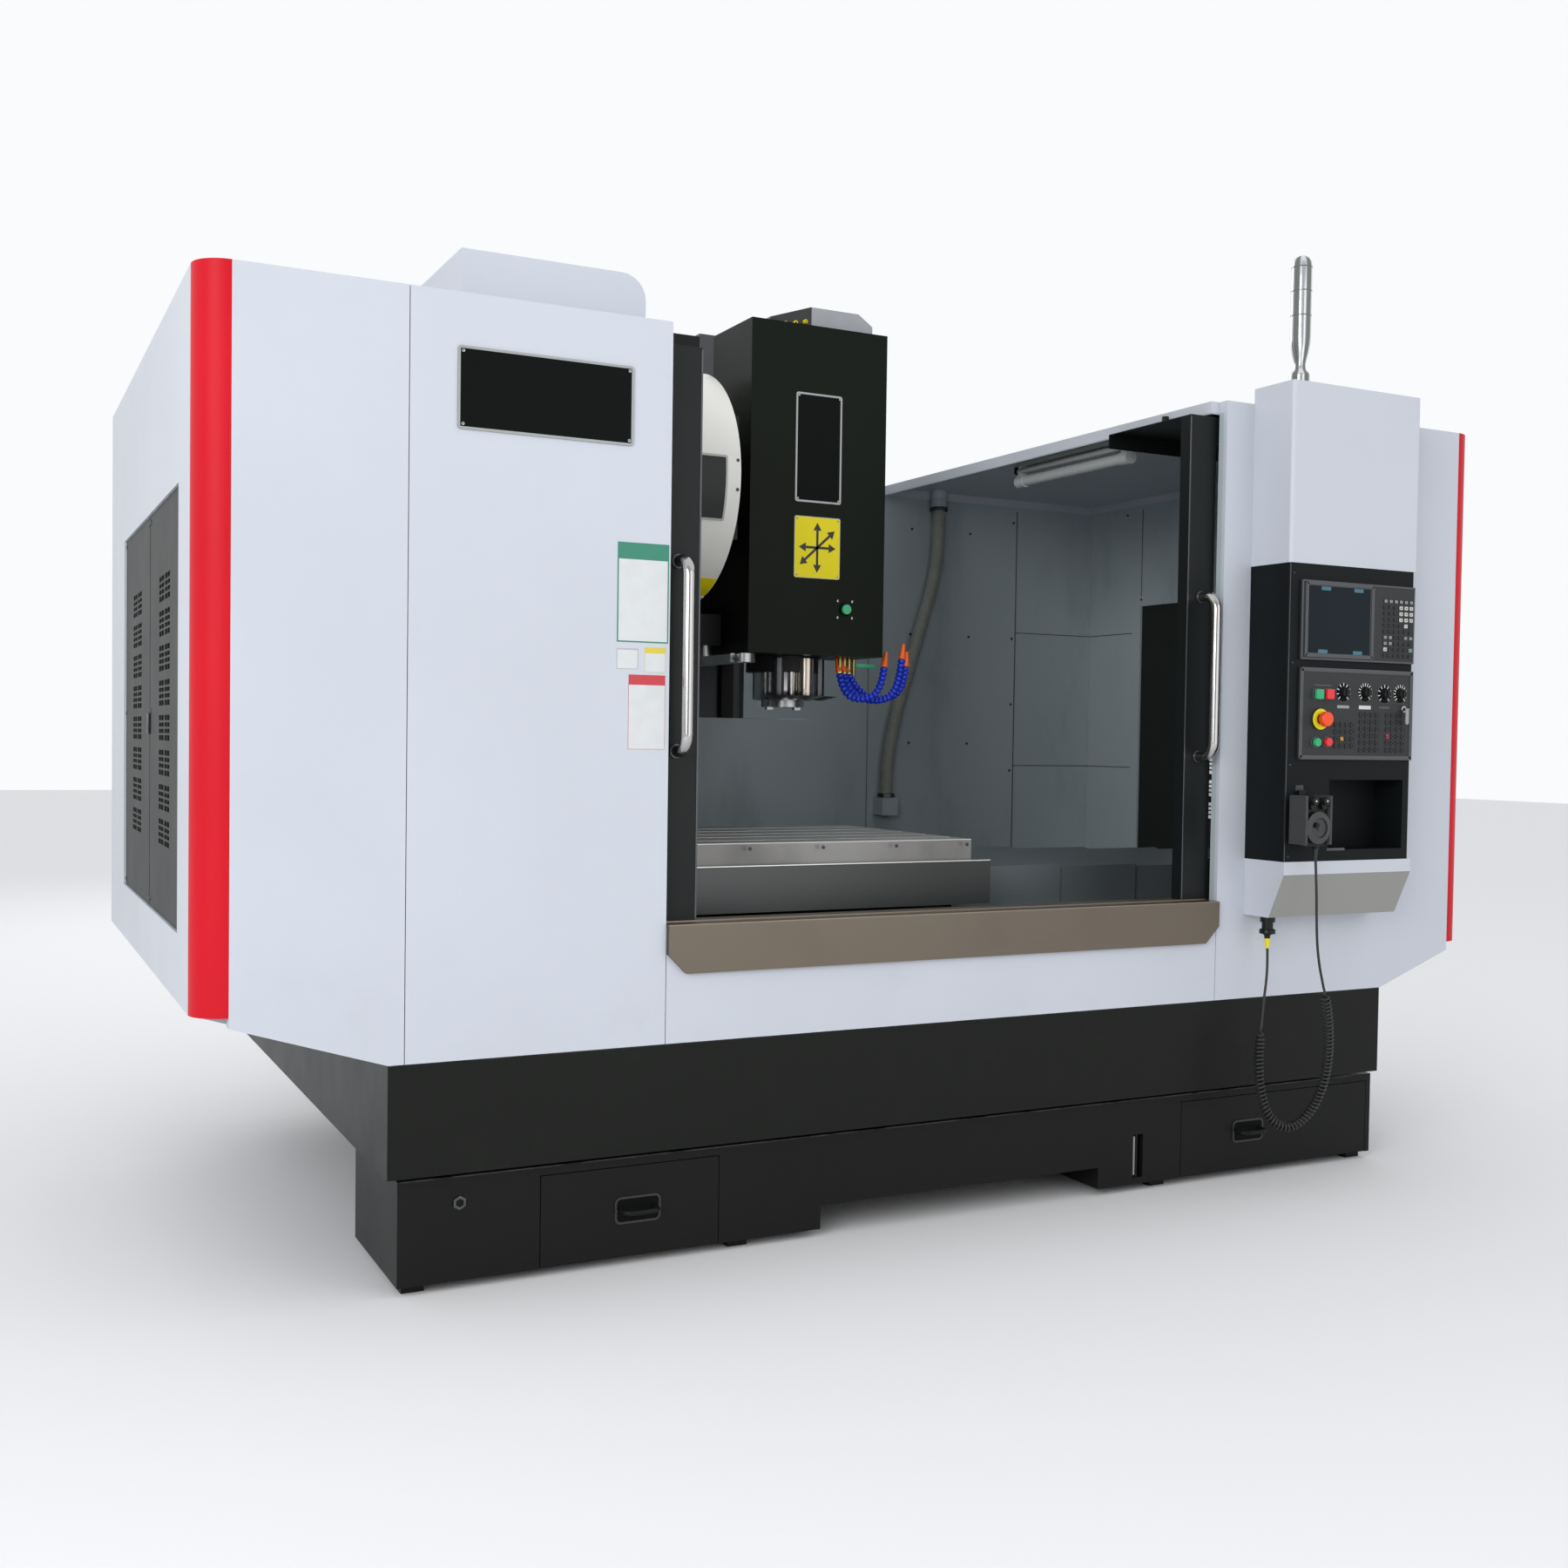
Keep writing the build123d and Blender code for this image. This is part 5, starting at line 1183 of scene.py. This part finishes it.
def makePanelSmalls(settings):
    face = settings["face"]
    x, z = settings["stop"]
    makeRing("stopCollar", x, face - 6, z, 28, 14, 1.6, "front", "signYellow")
    labels = []
    for x0, x1, z0, z1, paint in settings["labels"]:
        depth = settings["housing"] if z0 < settings["panel"][2] else face
        labels.append(addBlock("panelLabels", x0, x1, depth - 0.8, depth, z0, z1, paint, soft=(edges("y"), 1.2),
                               sunk=(faces("front"), 1, 0.1)))
    finish(joined("panelLabels", labels))
    x, z = settings["keySwitch"]
    barrel = addRound("keySwitch", x, face, z, 9.5, 7, "front", "chromeRim", "plateBlack",
                      soft=(rim("front"), 1.5), sunk=(faces("front"), 3, -1, 1))
    bow = addBlock("keyBow", x - 7, x + 7, face - 20, face - 6.5, z - 1.2, z + 1.2, "chromeRim",
                   soft=(everything, 0.6, 1))
    tag = addBlock("keyTag", x - 6, x + 6, face - 19, face - 17, z - 42, z - 1, "keyLight",
                   soft=(edges("y"), 4, 3), sunk=(faces("front"), 1.5, -0.3))
    finish(joined("keySwitch", [barrel, bow, tag]))
    for name, x, z in settings["lampPlates"]:
        makeFrame(name, (x - 16, x + 16, z - 16, z + 16), 2, 2.5, 4)
    for name, x, z in settings["collars"]:
        makeRing(name, x, face, z, 15, 11.8, 3, "front", "bezelGrey")


finish(addBlock("consoleEdge", 933.2, 936, -148, -145, 892, 1686, "edgeMetal", soft=(edges("z"), 0.9)))
makeDisplay(station)
makeKeypads(keypads)
makeDials(dials, station["knobs"], station["face"])
makePanelSmalls(station)
makeScrews("consoleScrews", station["screws"], 3, 1.6)
print("operator station made")

# pendant: side rails, selector knobs, dial ticks, wheel with its crank, hook and the cord's sleeves
pendant = {"node": "pendant_body", "dial": "handwheel_dial", "ticks": 40, "tick": (35.5, 39), "wheel": 30,
           "crank": (-17, 8, 6.5, 16), "hub": (8, 4), "joint": 28, "selector": (24, 26, 11, 10),
           "hook": (14, 2, 8, 4, 14)}


def makePendant(settings):
    x0, x1, d0, d1, z0, z1 = extent(settings["node"])
    wheel = extent(settings["dial"])
    cx, cz = (wheel[0] + wheel[1]) / 2, (wheel[4] + wheel[5]) / 2
    rails = [addBlock("pendantRails", low, high, d0 - 2, d1 - 12, z0 + 14, z1 - 12, "pendantGrey",
                      soft=(everything, 2), sunk=(faces(way), 3, -1))
             for low, high, way in ((x0 - 3, x0 + 5, "left"), (x1 - 5, x1 + 3, "right"))]
    finish(joined("pendantRails", rails), angle=45)
    inset, drop, wide, long = settings["selector"]
    selectors = [addRound("pendantSelectors", x, d0, z1 - drop, wide, long, "front", "knobBlack", "signWhite",
                          soft=(rim("front"), 2), sunk=(faces("front"), 6, 0.4, 1))
                 for x in (x0 + inset, x1 - inset)]
    finish(joined("pendantSelectors", selectors))
    low, high = settings["tick"]
    tick = addBlock("dialTicks", cx - 0.5, cx + 0.5, d0 - 0.6, d0, cz + low, cz + high, "keyLight",
                    soft=(edges("y"), 0.3, 1))
    ticks = [turnedCopy(tick, cx, cz, k * 2 * pi / settings["ticks"]) for k in range(settings["ticks"])]
    bpy.data.objects.remove(tick)
    finish(joined("dialTicks", ticks))
    dial = addRound("handWheel", cx, wheel[3], cz, (wheel[1] - wheel[0]) / 2, settings["wheel"], "front",
                    "knobBlack", "pendantGrey", sides=48, soft=(rim("front"), 2.5, 3),
                    sunk=(faces("front"), 7, -1.5, 1))
    joint = wheel[3] - settings["joint"]
    across, up, wide, long = settings["crank"]
    crank = addRound("wheelCrank", cx + across, joint, cz + up, wide, long, "front", "knobBlack", sides=20,
                     soft=(rim("front"), 2.5, 3))
    hub = addRound("wheelHub", cx, joint, cz, *settings["hub"], "front", "pendantGrey", "signWhite",
                   soft=(rim("front"), 1.5))
    finish(joined("handWheel", [dial, crank, hub]), "handwheel_dial", "handwheel_dial", angle=40)
    middle = (x0 + x1) / 2
    half, near, far, below, above = settings["hook"]
    finish(addBlock("pendantHook", middle - half, middle + half, d1 - near, d1 + far, z1 - below, z1 + above,
                    "pendantGrey", soft=(everything, 3)))


def makeSleeve(name, x, d, z0, z1, wide, narrow, paint):
    # a tapered strain relief with grooves, wide end at z0
    sleeve = addRound(name, x, d, z0, wide, abs(z1 - z0), "up" if z1 > z0 else "down", paint, sides=20)
    for k in range(1, 6):
        cutAt(sleeve, z0 + (z1 - z0) * k / 6)
    for vertex in sleeve.data.vertices:
        share = (vertex.co.z * 1000 - z0) / (z1 - z0)
        groove = 0.8 if round(share * 6) % 2 else 0
        size = (wide + (narrow - wide) * share - groove) / wide
        vertex.co.x = x / 1000 + (vertex.co.x - x / 1000) * size
        vertex.co.y = frontY + d / 1000 + (vertex.co.y - frontY - d / 1000) * size
    finish(sleeve, angle=50)


makePendant(pendant)
makeSleeve("leadSleeve", 1003, -190, 927, 896, 7.5, 4.6, "cordBlack")
makeSleeve("plugSleeve", 955, -70, 677, 650, 8, 4.6, "signYellow")
makeRing("plugNut", 955, -70, 690, 22, 17, 12, "up", "knobBlack", sides=12)
print("pendant made")

# signal tower: foot, waist and a tall fluted lens with a domed top, drawn up ring by ring
tower = {
    "x": 1022, "depth": -74, "base": 2170, "foot": 27, "footTop": 30.5,
    "profile": ((34, 27), (37, 25), (46, 17), (60, 15), (72, 17), (92, 22), (114, 26), (132, 27.5), (322, 27.5),
                (336, 25.5), (346, 20), (352, 11)),
    "rings": (190, 256, 320),
}


def makeTower(settings):
    x, d, z = settings["x"], settings["depth"], settings["base"]
    last, low = settings["foot"], settings["footTop"]
    body = addRound("signalTower", x, d, z + 0.5, last, 30, "up", "lensClear", "chromeRim", sides=48)
    pick(body, "FACE", faces("up"))
    for level, wide in settings["profile"]:
        bpy.ops.mesh.extrude_region_move(TRANSFORM_OT_translate={"value": (0, 0, (level - low) / 1000)})
        bpy.ops.transform.resize(value=(wide / last, wide / last, 1), center_override=at(x, d, z + level))
        last, low = wide, level
    bpy.ops.mesh.inset(thickness=last * 0.5 / 1000, depth=0.0016)
    done()
    rings = [addRound("ring", x, d, z + low, 28, 3, "up", "lensSmoke", sides=48,
                      soft=(either(rim("up"), rim("down")), 0.8)) for low in settings["rings"]]
    finish(joined("signalTower", [body] + rings), replaced="signal_tower", angle=50)


makeTower(tower)

# doors: rosettes at the handles' feet, edge strips, and the damper on the right closing plate
doors = {
    "door_left": {"handle": "door_left_handle", "strip": (-699, -694)},
    "door_right": {"handle": "door_right_handle", "strip": (745, 750)},
}
doorSmalls = {"face": 40, "foot": 14, "rosette": (17, 4), "edge": (38.6, 40.4, 780, 2086),
              "damper": (793, 200, 2092, 10, 24)}
for door, doorSettings in doors.items():
    x0, x1, d0, d1, z0, z1 = extent(doorSettings["handle"])
    foot = doorSmalls["foot"]
    rosette = addRound(door + "_rosettes", (x0 + x1) / 2, doorSmalls["face"], z0 + foot, *doorSmalls["rosette"],
                       "front", "edgeMetal", sides=32, soft=(rim("front"), 1.5, 3))
    finish(joined(door + "_rosettes", [rosette, copyBy(rosette, 0, 0, z1 - z0 - 2 * foot)]), door,
           angle=40)
    finish(addBlock(door + "_edge", *doorSettings["strip"], *doorSmalls["edge"], "edgeMetal",
                    soft=(edges("z"), 0.8)), door)
finish(addRound("doorDamper", *doorSmalls["damper"], "up", "knobBlack", soft=(rim("up"), 3),
                sunk=(faces("up"), 3, -3)), "door_right")
print("doors dressed")

# inside: seams and bolts of the rear and side walls, rear apron, lamp fittings, conduit gland
room = {
    "rear": 1780, "side": 1770, "seamLift": 1.6,
    "rearSeams": ((1409, 1414, 640, 2085), (1414, 1769, 1619, 1622), (1414, 1769, 1109, 1112),
                  (-1414, -1409, 640, 2085), (760, 763, 660, 2085), (-763, -760, 660, 2085)),
    "sideSeams": ((1520, 1780, 1619, 1622), (1520, 1780, 1109, 1112), (1469, 1473, 1757, 2085),
                  (640, 644, 1757, 2085), (40, 240, 1300, 1303)),
    "rearBolts": [(x, 1780, z) for x in (940, 1198) for z in (1192, 1596, 1985)]
                 + [(1396, 1780, z) for z in (1091, 1345, 1597, 2040)],
    "sideBolts": [(500, 2072), (850, 2072), (1200, 2072), (1560, 2072), (1471, 1745)],
}
lamp = {"node": "work_lamp", "troughDrop": 30, "margin": 6, "tube": 8, "tubeInset": 11, "capLength": 12,
        "cap": (-15, 9)}
rearApron = {"base": 708, "column": 562, "left": 1406, "right": 1455, "wall": 1768, "depth": (1784, 1787),
             "bottom": 470, "trayTop": 508, "baseTop": 542, "top": 624.6}


def makeSeams(settings):
    rear, lift = settings["rear"], settings["seamLift"]
    soft = (everything, 0.5, 1)
    group = [addBlock("wallSeams", x0, x1, rear - lift, rear, z0, z1, "seamGrey", soft=soft)
             for x0, x1, z0, z1 in settings["rearSeams"]]
    for side in (1, -1):
        x = side * settings["side"]
        near, far = sorted((x, x - side * lift))
        group += [addBlock("wallSeams", near, far, d0, d1, z0, z1, "seamGrey", soft=soft)
                  for d0, d1, z0, z1 in settings["sideSeams"]]
    finish(joined("wallSeams", group))
    makeScrews("rearBolts", settings["rearBolts"], 5, 3)
    for name, side, way in (("sideBolts", 1, "left"), ("sideBoltsLeft", -1, "right")):
        makeScrews(name, [(side * settings["side"], d, z) for d, z in settings["sideBolts"]], 4.5, 3, way)


def makeRearApron(settings):
    # sheets that hang from the rear wall into the chip tray, with wings over the base and the slanted underside
    tray, over, high = settings["trayTop"], settings["baseTop"], settings["top"]
    group = []
    for side, edge in ((-1, settings["left"]), (1, settings["right"])):
        x0, x1 = sorted((side * settings["base"], side * edge))
        sheet = addBlock("rearApron", x0, x1, *settings["depth"], settings["bottom"], high, "roomWhite")
        cutAt(sheet, tray)
        cutAt(sheet, over)
        for end, level, reach in ((-side, over, settings["column"] - settings["base"]),
                                  (side, tray, settings["wall"] - edge)):
            pick(sheet, "FACE", lambda face: face.normal.x * end > 0.9 and face.calc_center_median().z * 1000 > level)
            bpy.ops.mesh.extrude_region_move(TRANSFORM_OT_translate={"value": (side * reach / 1000, 0, 0)})
        for level, below in ((tray, 6), (over, 3)):
            pick(sheet, "VERT", lambda v: v.co.x * side > edge / 1000 + 0.01 and abs(v.co.z * 1000 - level) < 1)
            bpy.ops.transform.translate(value=(0, 0, (high - below - level) / 1000))
        done()
        group.append(sheet)
    apron = joined("rearApron", group)
    pick(apron, "FACE", everything)
    bpy.ops.mesh.normals_make_consistent(inside=False)
    done()
    finish(apron)


def makeLamp(settings):
    # two tubes in a trough, with end caps, in the lamp's own box
    x0, x1, d0, d1, z0, z1 = extent(settings["node"])
    top = z1 - settings["troughDrop"]
    margin, inset, cap = settings["margin"], settings["tubeInset"], settings["capLength"]
    low, high = (top + step for step in settings["cap"])
    group = [addBlock("workLamp", x0 + margin, x1 - margin, d0, d1, top + settings["tube"], z1, "towerGrey",
                      soft=(edges("y"), 3), sunk=(faces("down"), 3, -2))]
    group += [addRound("tube", x, d0 + margin, top - margin, settings["tube"], d1 - d0 - 2 * margin, "back",
                       "lampWhite", sides=20, soft=(either(rim("front"), rim("back")), 2))
              for x in (x0 + inset, x1 - inset)]
    group += [addBlock("cap", x0, x1, near, far, low, high, "plateBlack", soft=(everything, 2))
              for near, far in ((d0, d0 + cap), (d1 - cap, d1))]
    finish(joined("workLamp", group), angle=40)


makeSeams(room)
makeRearApron(rearApron)
makeLamp(lamp)
makeRing("conduitNut", 1031, 1740, 2052, 34, 25.5, 16, "up", "darkSteel", sides=8)
makeRing("conduitCollar", 822, 1740, 992, 33, 25.5, 14, "up", "darkSteel", sides=8)
print("room dressed")

# table, tank and side leaves: screws, edges, pull plates, level gauge, drain plug, splits and catches
table = {"screws": (-1090, -876, -656, -436, -226, -6, 216), "screwHeight": 922, "edge": (875, 879.5)}
tank = {"front": 28, "pulls": ((-836, "drawer_left"), (992, "drawer_right")), "pullHalf": 56, "screwHalf": 52,
        "pull": (96, 158), "gauge": (590, 597, 30, 36, 44, 148)}
leaves = {"face": 1794, "screws": [(d, z) for d in (272, 846, 882, 1457) for z in (788, 1245, 1702)],
          "split": (862, 866), "catch": (852, 876, 1190, 1240)}


def makeTable(settings):
    x0, x1, d0 = extent("table")[:3]
    makeScrews("tableScrews", [(x, d0, settings["screwHeight"]) for x in settings["screws"]], 5, 3,
               body="table_unit")
    finish(addBlock("troughEdge", x0 + 2, x1 - 2, d0 - 1.6, d0 + 2, *settings["edge"], "edgeBright",
                    soft=(edges("x"), 1)), body="table_unit")


def makeTank(settings):
    front = settings["front"]
    half = settings["pullHalf"]
    for x, body in settings["pulls"]:
        finish(addBlock(body + "_pull", x - half, x + half, front - 2.5, front, *settings["pull"], "pullGrey",
                        "plateBlack", soft=(edges("y"), 14, 4), sunk=(faces("front"), 5, -1.2, 1)),
               body)
        makeScrews(body + "_pullScrews", [(x + i * settings["screwHalf"], front - 2.5, 127) for i in (-1, 1)], 3, 1.6,
                   body=body)
    finish(addBlock("levelGauge", *settings["gauge"], "gaugeLight", "lensClear", soft=(everything, 1.5),
                    sunk=(faces("front"), 1.5, -0.5, 1)))
    makeRing("drainPlug", -1250, front, 190, 16, 10, 5, "front", "darkSteel", sides=6)


def makeLeaves(settings):
    z0, z1 = extent("side_louvres")[4:]
    for side, way in ((-1, "left"), (1, "right")):
        x = side * settings["face"]
        makeScrews("leafScrews_" + way, [(x, d, z) for d, z in settings["screws"]], 6, 3, way)
        finish(addBlock("leafSplit_" + way, *sorted((x, x + side * 0.6)), *settings["split"], z0 + 4, z1 - 4,
                        "holeBlack", soft=(edges("z"), 0.2, 1)))
        finish(addBlock("leafCatch_" + way, *sorted((x, x + side * 6)), *settings["catch"], "pullGrey", "edgeMetal",
                        soft=(everything, 2.5), sunk=(faces(way), 8, -2, 1)))


makeTable(table)
makeTank(tank)
makeLeaves(leaves)

# back: cabinet hinges and lifting eyes
cabinet = {"hingeLength": 70, "hingeMargin": 180, "eyes": (-450, 450), "eyeDepth": 2560, "eyeRise": 33}


def makeCabinetSmalls(settings):
    x0, x1, d0, d1, z0, z1 = extent("electrical_cabinet")
    margin = settings["hingeMargin"]
    hinges = [addRound("cabinetHinges", x, d1 - 13, z - 35, 7, settings["hingeLength"], "up", "darkSteel", sides=12,
                       soft=(either(rim("up"), rim("down")), 2))
              for x in (x0 + 5, x1 - 5) for z in (z0 + margin, (z0 + z1) / 2, z1 - margin)]
    finish(joined("cabinetHinges", hinges), angle=40)
    eyes = []
    for x in settings["eyes"]:
        bpy.ops.object.select_all(action="DESELECT")
        bpy.ops.mesh.primitive_torus_add(major_segments=24, minor_segments=10, major_radius=0.022,
                                         minor_radius=0.0065, rotation=(pi / 2, 0, 0),
                                         location=at(x, settings["eyeDepth"], z1 + settings["eyeRise"]))
        eye = begin("liftingEyes", ["darkSteel"], None, None)
        pick(eye, "FACE", lambda face: face.calc_center_median().z < (z1 + 13) / 1000)
        bpy.ops.mesh.delete(type="FACE")
        done()
        eyes += [eye, addRound("liftingEyes", x, settings["eyeDepth"], z1, 13, 16, "up", "darkSteel", sides=16,
                               soft=(rim("up"), 4))]
    finish(joined("liftingEyes", eyes), angle=50)


makeCabinetSmalls(cabinet)
print("tank, sides and back dressed")
